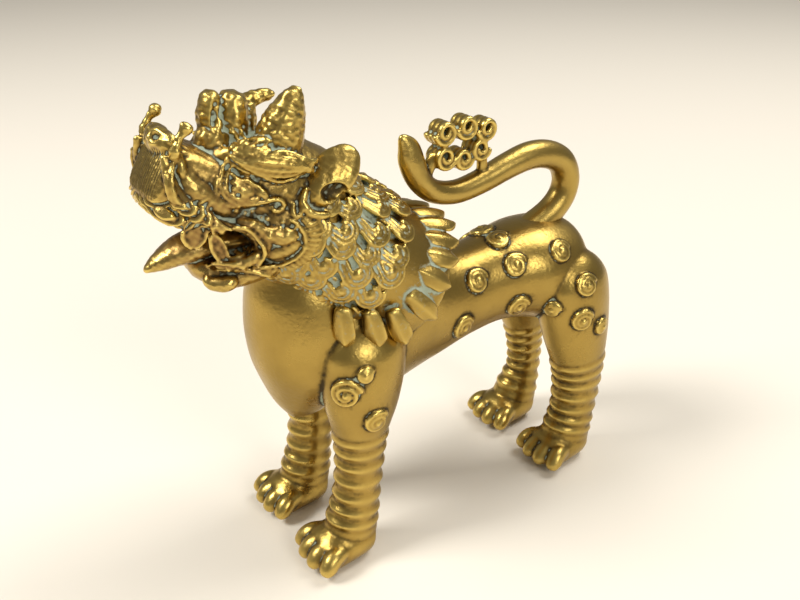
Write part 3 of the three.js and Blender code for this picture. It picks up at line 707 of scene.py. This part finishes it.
# Lines of the face that the photograph shows, by its pixels: how thick, how far lifted, and the way they run.
FACE_WIRES = {
    "upper flame": (0.8, 0.5, [
        [(232, 151, 0.6), (242, 144), (255, 139.5), (269, 138.5, 0.5)],
        [(233, 153, 0.6), (245, 147), (258, 142.5), (272, 141, 0.5)],
        [(235, 155.5, 0.6), (248, 150.5), (260, 146.5), (269, 145, 0.5)],
        [(237, 158, 0.6), (250, 154.5), (261, 150), (269, 148, 0.5)],
        [(242, 160, 0.5), (253, 158.5), (262, 154.5), (271, 151, 0.4)],
    ]),
    "brow leaf": (0.85, 0.9, [
        [(230, 155, 0.6), (240, 161), (255, 165), (270, 168), (285, 169), (300, 168), (316, 165, 0.5)],
        [(245, 160.5, 0.5), (258, 161.5), (272, 163.5), (288, 165), (302, 166), (315, 165, 0.5)],
        [(262, 160, 0.5), (273, 155.5), (284, 154.5), (296, 158), (308, 162), (317, 164, 0.5)],
        [(258, 157.5, 0.5), (270, 158.5), (284, 160), (298, 162.5), (312, 164.5, 0.5)],
    ]),
    "brow rim": (0.6, 1.0, [
        [(250, 170.5, 0.6), (262, 173), (272, 177), (284, 178.5), (298, 175), (310, 170), (317, 165.5, 0.6)],
        [(240, 163.5, 0.6), (250, 167.5), (262, 171), (275, 173.5), (288, 173), (303, 169.5, 0.6)],
    ]),
    "brow lines": (0.42, 0.35, [
        [(236, 166, 0.6), (244, 170), (252, 173, 0.6)],
        [(238, 170, 0.6), (246, 174), (251, 177, 0.6)],
        [(228, 158, 0.6), (222, 170), (220, 184), (224, 195), (232, 202), (245, 205.5), (259, 205, 0.6)],
        [(233, 164, 0.6), (227, 175), (225.5, 186), (229, 195), (237, 201, 0.6)],
        [(217, 176, 0.6), (215.5, 188), (219.5, 199), (228, 205), (239, 208.5, 0.6)],
    ]),
    "lids": (0.62, 0.45, [
        [(231, 182, 0.6), (240, 184.5), (249, 185.5), (256, 189), (262, 194.5), (266, 199, 0.6)],
        [(230, 173, 0.6), (237, 179.5), (248, 181), (256, 184.5), (262.5, 190.5), (268, 197, 0.6)],
        [(236, 201.5, 0.6), (249, 203), (262, 202), (272, 199.5), (280, 199.5), (283.5, 204), (281, 209.5), (275, 211), (271.5, 207.5, 0.7)],
        [(231, 190, 0.5), (236, 187.5), (245, 187.3), (254, 191), (259.5, 197, 0.5)],
        [(231, 193, 0.5), (236, 197.8), (246, 199.6), (255, 199), (259.5, 197, 0.5)],
    ]),
    "lip lines": (0.6, 0.5, [
        [(171, 152, 0.8), (170.5, 162), (171, 178), (173, 190), (178, 200), (186, 207.5), (196, 209), (206, 212), (214, 220), (223, 227), (233, 230.5, 0.8)],
        [(166, 172, 0.8), (168, 186), (171, 197), (176, 207), (184.5, 215), (196, 219), (206, 221.5), (214, 230), (222, 236.5), (231, 238.5, 0.8)],
    ]),
    "lip rope": (0.7, 0.25, [
        [(169, 180, 0.6), (172, 196), (181, 208.5), (196, 213.5), (206, 216.5), (214, 224), (222, 231), (232, 234.5, 0.7)],
    ]),
    "mouth": (0.62, 0.5, [
        [(229, 236.5, 0.8), (240, 237.5), (247, 242), (249.3, 248.5), (244.5, 255.5), (236, 259), (226, 260.5, 0.7)],
        [(233, 227.5, 0.7), (246, 229), (257, 236), (263.3, 246), (264.3, 254), (259, 262), (252, 267, 0.7)],
    ]),
    "ruff lines": (0.55, 0.5, [
        [(289, 219, 0.6), (297, 224), (303, 232), (305.3, 241), (303, 249), (297, 256), (288, 261), (276, 265), (262, 267.5), (245, 268.5), (226, 267, 0.6)],
        [(313, 217.5, 0.6), (319, 223), (323, 232), (323.5, 242), (320.5, 252), (314, 260), (306, 267), (296, 272), (282, 276, 0.6)],
        [(205, 264.5, 0.6), (222, 264), (240, 264.5), (252, 266.5, 0.6)],
        [(281, 276, 0.6), (268, 274.5), (252, 271.5), (235, 270.5), (216, 270, 0.6)],
    ]),
    "small scrolls": (0.5, 0.3, [
        [(294, 203, 0.7), (293, 211), (296, 217), (300, 215), (301, 207), (298, 203, 0.7)],
        [(302, 221, 0.7), (306, 216.5), (311, 214.5), (313, 218), (309, 222), (304, 223.5, 0.7)],
        [(229, 130, 0.7), (234, 133), (237, 139), (236, 144), (231, 145.5, 0.7)],
        [(240, 130, 0.7), (243, 137), (242, 145), (236, 149), (229, 148.5, 0.7)],
        [(180, 148, 0.7), (176, 156), (177.5, 168), (181, 178, 0.7)],
    ]),
}
HATCHED_BANDS = {
    "mouth ring": (1.35, 0.0, 1.25, [(236, 232, 0.7), (248, 234), (256, 241), (258, 250), (253, 259), (243, 263.5), (228, 264, 0.7)]),
    "ruff": (2.6, -0.5, 1.35, [(303, 213, 0.5), (311, 223, 0.95), (314.3, 236, 1.1), (312, 248, 1.1), (306, 257.5), (296, 264.5, 0.9),
                               (284, 269.5, 0.75), (268, 271, 0.6), (250, 269.8, 0.5), (234, 268.8, 0.4)]),
}
CHEEK_DOTS = [(269, 236.5), (273, 235), (277.5, 233.5), (276.5, 238.5), (279.5, 242), (285, 242), (290, 240.5), (293.5, 239), (297, 236.5),
              (280, 228), (271, 230), (295.5, 227.5), (283, 221.5), (236, 211), (238, 206), (245, 213), (252, 211), (261, 218), (267, 219)]
SNOUT_FOLD = [(184, 165, 0.5), (187, 178, 0.9), (192, 189, 1.15), (201, 196, 1.15), (213, 203, 1), (224, 211, 0.8), (231, 217, 0.5)]
SNOUT_RIDGE = [(177, 152, 0.6), (180, 162), (182, 172), (185, 181, 0.6)]
CHEEK_FOLD = [(266, 226, 0.7), (272, 233), (281, 237), (290, 235), (297, 229, 0.7)]
LOWER_CHEEK = [(258, 258, 0.6), (270, 254), (283, 252), (294, 245), (299, 236, 0.6)]
TONGUE_SHOWN = [[0, -50, 110, 6, 2.6], [0, -61, 110.8, 6.8, 3.4], [0, -70, 109.8, 6.2, 3.6], [0, -76.5, 107.8, 3.8, 2.6], [0, -81.5, 105.8, 0.8, 0.7]]
EAR_SHOWN = [[13.4, -41, 120.5, 2.6, 2.2], [15, -37.4, 124.2, 5.2, 2.6], [15.2, -32.6, 128.4, 6, 2.2], [14.4, -28.6, 131.4, 4, 1.7], [13.8, -26.4, 133, 1.6, 0.9]]
EAR_UP = (0.8, -0.5, 0.3)


def leaf_tooth(clay, root, tip, out, wide, broad=0.5):
    """A leaf-shaped fang: a rounded plate with a wire round its edge. broad says where it is widest."""
    root, tip, out = (np.array(v, float) for v in (root, tip, out))
    s = np.linspace(0, 1, 26)
    path = root + (tip - root) * s[:, None]
    width = wide * np.sin(pi * np.clip(0.22 + 0.78 * s, 0, 1) ** (0.7 / broad)) ** 0.8
    clay.add(tube(path, out, np.maximum(width, 0.35), 0.75, 16))
    aside = unit(np.cross(out, tip - root))
    for hand in (1, -1):
        clay.add(tube(path + aside * (hand * width)[:, None] + unit(out) * 0.5, out, 0.55, sides=10))


def build_head(sizes):
    """The head: skull, snout, jaw, tongue, teeth, horns, crest, ears, brows, eyes and cheeks."""
    base = [
        Form(SKULL, dome=0.15).skin(),
        Form(SNOUT, square=3, dome=0.1).skin(),
        Form(JAW).skin(),
        Form(CHEEK, dome=0.2).skin(),
        Form(mirrored(CHEEK), dome=0.2).skin(),
        Form([[0.3, -60.6, 136, 3.6, 2.4], [0.4, -60.4, 143, 3.9, 2.6], [0.6, -58.8, 149.4, 2.9, 2.2]], up=BACK).skin(40, 40),
        Form([[0, -55, 136, 5.4, 4.6], [0, -54, 143, 5.2, 4.2], [0, -52.6, 148.4, 3.8, 2.8]], up=BACK).skin(40, 40),
        Form([[-2, -51, 136, 4, 3.6], [-2, -49.5, 141, 3.6, 3], [-2, -48.6, 145, 2.4, 2]], up=BACK).skin(40, 40),
        Form([[-7, -53, 133, 5, 5], [-7.4, -49.5, 139.5, 4.2, 4.2], [-7.6, -45, 143.4, 2.4, 2.4], [-7.4, -38, 144.4, 1.4, 1.4]], up=ACROSS).skin(50, 40),
        Form([[7.5, -46.5, 131, 6.2], [8.6, -44.8, 138, 6.2], [9.6, -42.6, 144, 4.5], [10.6, -40.4, 150, 1.6]], up=BACK).skin(50, 40),
    ]
    holes = [
        Form(MOUTH, up=MOUTH_UP, dome=0.05).skin(),
        strand([[3.9, -60.2, 137.5, 0.8], [4.2, -59.9, 142.5, 1.3], [3.7, -58.6, 147.6, 0.8]]),
    ]
    for side in (1, -1):
        hand = (lambda rows: rows) if side > 0 else mirrored
        base.append(strand(hand([row[:3] + [0.85 * row[3]] for row in HEAD_STRANDS["lip"]])))
        base.append(strand(hand([row[:3] + [0.85 * row[3]] for row in HEAD_STRANDS["mouth ring"]])))
        base.append(Form(hand([[4, -62.8, 134.6, 1.6, 1.4], [9.5, -58.2, 134.4, 2.4, 3], [12.4, -51.6, 132.6, 2.8, 3.8],
                               [13.8, -45, 131.6, 2.4, 3], [15.4, -38.6, 131, 0.7, 0.6]]), up=UP).skin(50, 40))
        base.append(Form(hand(EAR_SHOWN), up=(EAR_UP[0] * side, *EAR_UP[1:])).skin(50, 40))
        holes.append(ball((16.6 * side, -57.6, 127), 4.3, (1, 1.35, 0.9)))
        holes.append(ball((18.6 * side, -35.4, 123.4), 3.4, (0.8, 1.2, 0.8)))
    clay = Clay(base, holes, voxel=0.42)
    clay.add(Form(TONGUE_SHOWN, dome=0.04).skin())
    clay.add(Form([[-8, -71.6, 138, 2, 3], [0, -73.4, 139.4, 3, 3.6], [8, -71.6, 138, 2, 3]]).skin(50, 40))
    clay.add(ball((2.2, -60.6, 136.9), 4.9, (1, 0.92, 0.95)))
    clay.add(strand([[6.4, -61.5, 137.5, 0.7], [5, -59.8, 140.6, 1], [2, -58.6, 142, 1.1], [-2, -58.8, 141.6, 1], [-5, -60, 139, 0.7]]))
    clay.add(strand([*TEETH, *mirrored(TEETH[:-1])[::-1]], out=UP, steps=140, sides=16))
    for radius, lift, lines in FACE_WIRES.values():
        for pixels in lines:
            clay.trace(pixels, radius, lift, steps=70)
    for radius, lift, pitch, pixels in HATCHED_BANDS.values():
        clay.trace(pixels, radius, lift, steps=220, flat=0.62, sides=20, ripple=rope(pitch, 0.09, 1.6))
    clay.trace(SNOUT_FOLD, 3.0, -1.2, flat=0.8, sides=24)
    clay.trace(SNOUT_RIDGE, 1.2, 0, sides=16)
    clay.trace(CHEEK_FOLD, 2.6, -0.9, sides=20)
    clay.trace(LOWER_CHEEK, 2.4, -1.5, sides=20)
    lip_rope = FACE_WIRES["lip rope"][2][0]
    clay.trace(lip_rope, 0.9, 0.1, steps=200, ripple=rope(1.0, 0.16, 1.5))
    for side in (1, -1):
        hand = (lambda rows: rows) if side > 0 else mirrored
        whisker = [[8.6, -72.6, 134.6, 1.6], [11, -73.2, 138.4, 1.3], [10.9, -71.8, 141.4, 1.0], [10.6, -70.2, 143.2, 1.1]]
        clay.add(strand(hand(whisker)), ball((10.6 * side, -69.7, 143.6), 1.7))
        clay.add(ball((12.5 * side, -57.2, 126.2), 2.4, (0.8, 1.45, 0.95)))
        clay.trace([(306, 187, 0.6), (302.5, 196), (302.5, 203), (307, 210.5), (314, 214.5), (322, 215.5), (330, 213.5, 0.6)], 1.1, 0.6,
                   sides_of=(side,))
        clay.add(strand(hand([[6, -67.6, 103.6, 1.3], [7.2, -66.4, 101.6, 2], [9.6, -63.2, 101.4, 2.2], [10.8, -60.8, 102.8, 1.4]])))
        leaf_tooth(clay, (12.4 * side, -70.6, 122.4), (12.2 * side, -72, 114.4), (side, 0, 0), 3.1, 0.45)
        leaf_tooth(clay, (11 * side, -63.4, 107.6), (11.6 * side, -66.9, 117.2), (side, 0, 0), 1.7)
    clay.dots = [np.array(place) for place in clay.seen(CHEEK_DOTS)]
    return finished(clay, "guardian_lion_head", sizes.head_grain, 198000, lambda points: head_zone(points, clay.dots),
                    lambda points: head_press(points, clay.dots))


def soft_box(values, low, high, edge):
    """1 between low and high, falling to 0 over edge on both sides."""
    return np.clip((values - low) / edge, 0, 1) * np.clip((high - values) / edge, 0, 1)


def lumps(points, width, seed):
    """Uneven ground, from -1 to 1: the mean of sine waves about width long, in seeded directions."""
    draw = np.random.default_rng(seed)
    total = np.zeros(len(points))
    for _ in range(14):
        way = unit(draw.normal(size=3)) * 2 * pi / (width * draw.uniform(0.7, 1.5))
        total += np.sin(points @ way + draw.uniform(0, 2 * pi))
    return total / 5


def head_press(points, dots):
    """Fine engraving of the head: how far each point moves out along its normal."""
    x, y, z = points.T
    plate = soft_box(y, -90, -72.5, 1) * soft_box(np.abs(x), -1, 9, 1) * soft_box(z, 127, 138.5, 1)
    teeth = soft_box(y, -90, -66, 3) * soft_box(z, 119.4, 127.2, 0.8)
    press = 0.12 * plate * np.cos(2 * pi * x / 0.95) + 0.35 * teeth * np.cos(2 * pi * (np.abs(x) + 0.9 * z - 0.9 * y) / 2.7)
    crown = soft_box(z, 135, 160, 3)
    press += 0.16 * crown * lumps(points, 2.2, 5) + 0.06 * lumps(points, 1.6, 6)
    for side in (1, -1):
        press -= 1.4 * near_zone(points, (3.4 * side, -75.4, 141.0), (2.0, 1.9, 1.7))
        press -= 1.1 * near_zone(points, (14.4 * side, -59.6, 126.3), (1.6, 1.0, 1.0))
        for place in dots:
            press += 0.4 * near_zone(points, place * (side, 1, 1), (1.5, 0.8, 0.8))
    return press


def head_zone(points, dots):
    green = 0.8 * near_zone(points, (0, -50, 140), (32, 24, 14)) + 0.25 * near_zone(points, (0, -58, 126), (26, 22, 14))
    for side in (1, -1):
        for place in dots:
            green += 1.6 * near_zone(points, place * (side, 1, 1), (1.6, 0.9, 0.9))
    return {"copper": near_zone(points, (0, -66, 116), (46, 34, 30)), "green": np.clip(green, 0, 2)}


def build_tail(sizes):
    """The looped tail and its openwork plume of scrolls."""
    clay = Clay([Form(TAIL, up=ACROSS, dome=0.02).skin(160, 48)], voxel=0.5)
    clay.add(strand([[0, 5, 111, 2.2], [0, 7, 117, 2], [0, 10.5, 122, 2.2]]))
    clay.add(strand([[0, 28, 108, 1.8], [0, 27.4, 121, 1.7]]))
    scrolls = [(27.2, 127, 3.6, 1), (19.6, 128.6, 3.8, 1), (11.6, 128, 3.8, 1), (25, 121, 3.6, -1), (18.6, 119, 3.4, -1),
               (11.8, 120.4, 3.8, -1)]
    for y, z, radius, hand in scrolls:
        for x in (-2.2, 0, 2.2):
            s = np.linspace(0, 1, 60)
            reach = radius * (1 - 0.8 * s)
            turn = hand * 2 * pi * 1.6 * s + (pi if hand > 0 else 0)
            path = np.stack([np.full(60, x), y + reach * np.cos(turn), z + reach * np.sin(turn)], 1)
            clay.add(tube(path, ACROSS, 1.0 - 0.2 * s, 1.4))
    return finished(clay, "guardian_lion_tail", sizes.tail_grain, 120000, tail_zone)


def tail_zone(points):
    return {
        "copper": np.zeros(len(points)),
        "green": 0.8 * near_zone(points, (0, 18, 124), (12, 20, 12)),
    }


# Materials

def node(tree, kind, place, links=(), **values):
    """A node with its sockets set by name, and links from earlier outputs."""
    made = tree.nodes.new(kind)
    made.location = place
    for key, value in values.items():
        if key.startswith("set_"):
            setattr(made, key[4:], value)
    for socket, value in links:
        if isinstance(value, bpy.types.NodeSocket):
            tree.links.new(value, made.inputs[socket])
        else:
            made.inputs[socket].default_value = value
    return made


def deposit_group():
    """A node group: how much of a deposit lies at a place. The depth of the hollow plus uneven noise passes a
    threshold, and the zone says how ready the place is to hold it."""
    tree = bpy.data.node_groups.new("Deposit", "ShaderNodeTree")
    for name, low in (("Hollow", 0), ("Zone", 0), ("Scale", 400), ("Threshold", 0.5), ("Softness", 0.2)):
        tree.interface.new_socket(name, in_out="INPUT", socket_type="NodeSocketFloat").default_value = low
    tree.interface.new_socket("Amount", in_out="OUTPUT", socket_type="NodeSocketFloat")
    enter = node(tree, "NodeGroupInput", (-900, 0))
    where = node(tree, "ShaderNodeTexCoord", (-900, -300))
    noise = node(tree, "ShaderNodeTexNoise", (-650, -200), [("Vector", where.outputs["Object"]), ("Scale", enter.outputs["Scale"]),
                                                         ("Detail", 5), ("Roughness", 0.65)])
    swing = node(tree, "ShaderNodeMath", (-450, -200), [(0, noise.outputs["Fac"]), (1, 1.3), (2, -0.65)], set_operation="MULTIPLY_ADD")
    depth = node(tree, "ShaderNodeMath", (-450, 0), [(0, enter.outputs["Hollow"]), (1, swing.outputs[0])], set_operation="ADD")
    ready = node(tree, "ShaderNodeMath", (-250, 0), [(0, depth.outputs[0]), (1, enter.outputs["Zone"])], set_operation="ADD")
    over = node(tree, "ShaderNodeMath", (-80, 0), [(0, ready.outputs[0]), (1, enter.outputs["Threshold"])], set_operation="SUBTRACT")
    soft = node(tree, "ShaderNodeMath", (80, 0), [(0, over.outputs[0]), (1, enter.outputs["Softness"])], set_operation="DIVIDE")
    soft.use_clamp = True
    leave = node(tree, "NodeGroupOutput", (260, 0))
    tree.links.new(soft.outputs[0], leave.inputs["Amount"])
    return tree


def brass_material(sizes, deposit):
    """Cast brass: golden where it is worn, brown in shallow hollows, and pale green in deep ones."""
    material = bpy.data.materials.new("cast_brass")
    material.use_nodes = True
    tree = material.node_tree
    tree.nodes.clear()
    where = node(tree, "ShaderNodeTexCoord", (-1500, 0))
    hollow = node(tree, "ShaderNodeAttribute", (-1500, 300), set_attribute_name="hollow").outputs["Fac"]
    worn = node(tree, "ShaderNodeAttribute", (-1500, 150), set_attribute_name="worn").outputs["Fac"]
    copper = node(tree, "ShaderNodeAttribute", (-1500, -200), set_attribute_name="copper").outputs["Fac"]
    green = node(tree, "ShaderNodeAttribute", (-1500, -350), set_attribute_name="green").outputs["Fac"]
    tone = node(tree, "ShaderNodeTexNoise", (-1250, -100), [("Vector", where.outputs["Object"]), ("Scale", 60), ("Detail", 6), ("Roughness", 0.6)])
    spots = node(tree, "ShaderNodeTexNoise", (-1250, -400), [("Vector", where.outputs["Object"]), ("Scale", 900), ("Detail", 4)])
    gold = node(tree, "ShaderNodeMix", (-900, 100), [("Factor", tone.outputs["Fac"]), (6, (*sizes.gold, 1)), (7, (*sizes.old_gold, 1))],
                set_data_type="RGBA")
    warm = node(tree, "ShaderNodeMath", (-900, -150), [(0, copper), (1, 0.75)], set_operation="MULTIPLY")
    coppery = node(tree, "ShaderNodeMix", (-700, 100), [("Factor", warm.outputs[0]), (6, gold.outputs[2]), (7, (*sizes.copper, 1))],
                   set_data_type="RGBA")
    brown = node(tree, "ShaderNodeGroup", (-900, 400))
    brown.node_tree = deposit
    for key, value in (("Scale", 350), ("Threshold", 0.15), ("Softness", 0.75), ("Zone", 0.0)):
        brown.inputs[key].default_value = value
    tree.links.new(hollow, brown.inputs["Hollow"])
    crust = node(tree, "ShaderNodeGroup", (-900, 600))
    crust.node_tree = deposit
    for key, value in (("Scale", 700), ("Threshold", 1.1), ("Softness", 0.5)):
        crust.inputs[key].default_value = value
    tree.links.new(hollow, crust.inputs["Hollow"])
    tree.links.new(green, crust.inputs["Zone"])
    dark = node(tree, "ShaderNodeMix", (-450, 100), [("Factor", brown.outputs[0]), (6, coppery.outputs[2]), (7, (*sizes.brown, 1))],
                set_data_type="RGBA")
    bright = node(tree, "ShaderNodeMath", (-450, -100), [(0, worn), (1, 0.6)], set_operation="MULTIPLY")
    bright.use_clamp = True
    rubbed = node(tree, "ShaderNodeMix", (-250, 100), [("Factor", bright.outputs[0]), (6, dark.outputs[2]), (7, (*sizes.rubbed, 1))],
                  set_data_type="RGBA")
    colour = node(tree, "ShaderNodeMix", (-50, 100), [("Factor", crust.outputs[0]), (6, rubbed.outputs[2]), (7, (*sizes.verdigris, 1))],
                  set_data_type="RGBA")
    metal = node(tree, "ShaderNodeMath", (-50, 350), [(0, crust.outputs[0]), (1, -0.95), (2, 1.0)], set_operation="MULTIPLY_ADD")
    smooth = node(tree, "ShaderNodeMapRange", (-450, -300), [(0, tone.outputs["Fac"]), (1, 0.3), (2, 0.7), (3, sizes.polish), (4, sizes.polish + 0.14)])
    dull = node(tree, "ShaderNodeMath", (-250, -300), [(0, brown.outputs[0]), (1, 0.22), (2, smooth.outputs[0])], set_operation="MULTIPLY_ADD")
    rough = node(tree, "ShaderNodeMath", (-50, -300), [(0, crust.outputs[0]), (1, 0.45), (2, dull.outputs[0])], set_operation="MULTIPLY_ADD")
    bump = node(tree, "ShaderNodeBump", (-50, -550), [("Strength", 0.25), ("Distance", 0.0004), ("Height", spots.outputs["Fac"])])
    shader = node(tree, "ShaderNodeBsdfPrincipled", (250, 0), [("Base Color", colour.outputs[2]), ("Metallic", metal.outputs[0]),
                                                              ("Roughness", rough.outputs[0]), ("Normal", bump.outputs[0])])
    leave = node(tree, "ShaderNodeOutputMaterial", (550, 0))
    tree.links.new(shader.outputs[0], leave.inputs["Surface"])
    return material


def brass(sizes):
    """The one brass material, made when it is first asked for."""
    made = bpy.data.materials.get("cast_brass")
    return made or brass_material(sizes, deposit_group())


def placed(piece, sizes):
    """A piece with its material, its body, its slot and the node that it stands for."""
    piece.data.materials.append(brass(sizes))
    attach(piece, BODY)
    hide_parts(NODE)


# Settings, operators and panel

class LionSizes(bpy.types.PropertyGroup):
    """Sizes, in millimetres, and colours of the lion."""

    curl_radius: bpy.props.FloatProperty(name="Curl radius", description="Radius of a spiral curl on the flanks, mm", default=4.6)
    curl_rise: bpy.props.FloatProperty(name="Curl rise", description="How far a curl stands off the skin, mm", default=1.5)
    shin_ridges: bpy.props.IntProperty(name="Shin ridges", description="Ridges round each shin", default=7)
    shin_ridge: bpy.props.FloatProperty(name="Shin ridge", description="How far a shin ridge stands off, mm", default=0.8)
    toe_spread: bpy.props.FloatProperty(name="Toe spread", description="Between the tips of neighbouring toes, mm", default=5.6)
    mane_rows: bpy.props.IntProperty(name="Mane rows", description="Rows of locks down the mane", default=4)
    mane_locks: bpy.props.IntProperty(name="Mane locks", description="Locks in each row", default=19)
    body_grain: bpy.props.FloatProperty(name="Body grain", description="Width of the smallest detail of the body, mm", default=0.42)
    head_grain: bpy.props.FloatProperty(name="Head grain", description="Width of the smallest detail of the head, mm", default=0.36)
    mane_grain: bpy.props.FloatProperty(name="Mane grain", description="Width of the smallest detail of the mane, mm", default=0.36)
    tail_grain: bpy.props.FloatProperty(name="Tail grain", description="Width of the smallest detail of the tail, mm", default=0.4)
    polish: bpy.props.FloatProperty(name="Polish", description="Roughness of worn brass", default=0.24, min=0, max=1)
    gold: bpy.props.FloatVectorProperty(name="Gold", description="Clean brass", subtype="COLOR", default=(0.46, 0.31, 0.075))
    old_gold: bpy.props.FloatVectorProperty(name="Old gold", description="Toned brass", subtype="COLOR", default=(0.26, 0.165, 0.04))
    rubbed: bpy.props.FloatVectorProperty(name="Rubbed", description="Brass on worn edges", subtype="COLOR", default=(0.78, 0.58, 0.16))
    copper: bpy.props.FloatVectorProperty(name="Copper", description="Coppery brass of the face", subtype="COLOR", default=(0.25, 0.135, 0.06))
    brown: bpy.props.FloatVectorProperty(name="Brown", description="Brown patina", subtype="COLOR", default=(0.06, 0.042, 0.018))
    verdigris: bpy.props.FloatVectorProperty(name="Verdigris", description="Pale green deposit", subtype="COLOR", default=(0.42, 0.48, 0.36))


class LionStage(bpy.types.PropertyGroup):
    """Floor, light and camera."""

    floor: bpy.props.FloatVectorProperty(name="Floor", description="Colour of the floor", subtype="COLOR", default=(0.86, 0.79, 0.67))
    lens: bpy.props.FloatProperty(name="Lens", description="Focal length, mm", default=LENS)


def piece_operator(label, build, words):
    """An operator class that builds one piece."""
    name = label.title().replace(" ", "")

    def execute(self, context):
        sizes = context.scene.lion_sizes
        placed(build(sizes), sizes)
        return {"FINISHED"}

    return type("LION_OT_" + label.replace(" ", "_"), (bpy.types.Operator,), {
        "bl_idname": "lion." + label.replace(" ", "_"), "bl_label": "Add " + label, "__doc__": words, "execute": execute})


class LION_OT_body(bpy.types.Operator):
    """Adds the body, legs and paws"""

    bl_idname = "lion.body"
    bl_label = "Add body"

    def execute(self, context):
        sizes = context.scene.lion_sizes
        placed(build_body(sizes), sizes)
        return {"FINISHED"}


class LION_OT_mane(bpy.types.Operator):
    """Adds the mane"""

    bl_idname = "lion.mane"
    bl_label = "Add mane"

    def execute(self, context):
        sizes = context.scene.lion_sizes
        placed(build_mane(sizes), sizes)
        return {"FINISHED"}


class LION_OT_head(bpy.types.Operator):
    """Adds the head"""

    bl_idname = "lion.head"
    bl_label = "Add head"

    def execute(self, context):
        sizes = context.scene.lion_sizes
        placed(build_head(sizes), sizes)
        return {"FINISHED"}


class LION_OT_tail(bpy.types.Operator):
    """Adds the tail and its plume"""

    bl_idname = "lion.tail"
    bl_label = "Add tail"

    def execute(self, context):
        sizes = context.scene.lion_sizes
        placed(build_tail(sizes), sizes)
        return {"FINISHED"}


class LION_OT_stage(bpy.types.Operator):
    """Adds the floor, the lights and the camera"""

    bl_idname = "lion.stage"
    bl_label = "Add stage"

    def execute(self, context):
        stage = context.scene.lion_stage
        build_floor(stage)
        build_lights()
        build_camera(stage)
        return {"FINISHED"}


def build_floor(stage):
    """A plain pale floor, 4 m square."""
    mesh = bpy.data.meshes.new("floor")
    mesh.from_pydata([(-2, -2, 0), (2, -2, 0), (2, 2, 0), (-2, 2, 0)], [], [(0, 1, 2, 3)])
    floor = bpy.data.objects.new("floor", mesh)
    bpy.context.scene.collection.objects.link(floor)
    material = bpy.data.materials.new("pale_floor")
    material.use_nodes = True
    shader = material.node_tree.nodes["Principled BSDF"]
    shader.inputs["Base Color"].default_value = (*stage.floor, 1)
    shader.inputs["Roughness"].default_value = 0.9
    mesh.materials.append(material)


def aim(thing, target):
    """Turns a camera or a light to look at a point."""
    thing.rotation_euler = (Vector(target) - thing.location).to_track_quat("-Z", "Y").to_euler()


def build_lights():
    """Soft studio light: a large lamp over the left shoulder, a weaker one opposite, and an even world."""
    for name, place, size, power in (
        ("key", (-0.3, -0.9, 1.1), 0.5, 14.0),
        ("fill", (1.3, 0.1, 0.8), 0.6, 7.0),
        ("top", (0.1, 0.7, 1.3), 0.7, 12.0),
    ):
        data = bpy.data.lights.new(name, "AREA")
        data.size = size
        data.energy = power
        lamp = bpy.data.objects.new(name, data)
        lamp.location = place
        bpy.context.scene.collection.objects.link(lamp)
        aim(lamp, (0, 0, 0.07))
    world = bpy.data.worlds.new("studio")
    world.use_nodes = True
    world.node_tree.nodes["Background"].inputs["Color"].default_value = (1, 0.97, 0.92, 1)
    world.node_tree.nodes["Background"].inputs["Strength"].default_value = 0.28
    bpy.context.scene.world = world
    bpy.context.scene.view_settings.view_transform = "Standard"


def build_camera(stage):
    """The photograph's camera, moved to the part's frame."""
    data = bpy.data.cameras.new("camera")
    data.sensor_width = SENSOR
    data.lens = stage.lens
    data.clip_start = 0.01
    camera = bpy.data.objects.new("camera", data)
    camera.location = (EYE + SHIFT) * MM
    bpy.context.scene.collection.objects.link(camera)
    aim(camera, (TARGET + SHIFT) * MM)
    bpy.context.scene.camera = camera


class LION_PT_panel(bpy.types.Panel):
    """The lion's sizes, its pieces and its stage"""

    bl_idname = "LION_PT_panel"
    bl_label = "Guardian lion"
    bl_space_type = "VIEW_3D"
    bl_region_type = "UI"
    bl_category = "Lion"

    def draw(self, context):
        for key in LionSizes.__annotations__:
            self.layout.prop(context.scene.lion_sizes, key)
        for operator in OPERATORS:
            self.layout.operator(operator.bl_idname)
        for key in LionStage.__annotations__:
            self.layout.prop(context.scene.lion_stage, key)


OPERATORS = (LION_OT_body, LION_OT_mane, LION_OT_head, LION_OT_tail, LION_OT_stage)
CLASSES = (LionSizes, LionStage, *OPERATORS, LION_PT_panel)


def register():
    for each in CLASSES:
        bpy.utils.register_class(each)
    bpy.types.Scene.lion_sizes = bpy.props.PointerProperty(type=LionSizes)
    bpy.types.Scene.lion_stage = bpy.props.PointerProperty(type=LionStage)


def unregister():
    del bpy.types.Scene.lion_sizes
    del bpy.types.Scene.lion_stage
    for each in reversed(CLASSES):
        bpy.utils.unregister_class(each)


def main():
    register()
    for add in (bpy.ops.lion.stage, bpy.ops.lion.body, bpy.ops.lion.mane, bpy.ops.lion.head, bpy.ops.lion.tail):
        add()


if __name__ == "__main__":
    main()
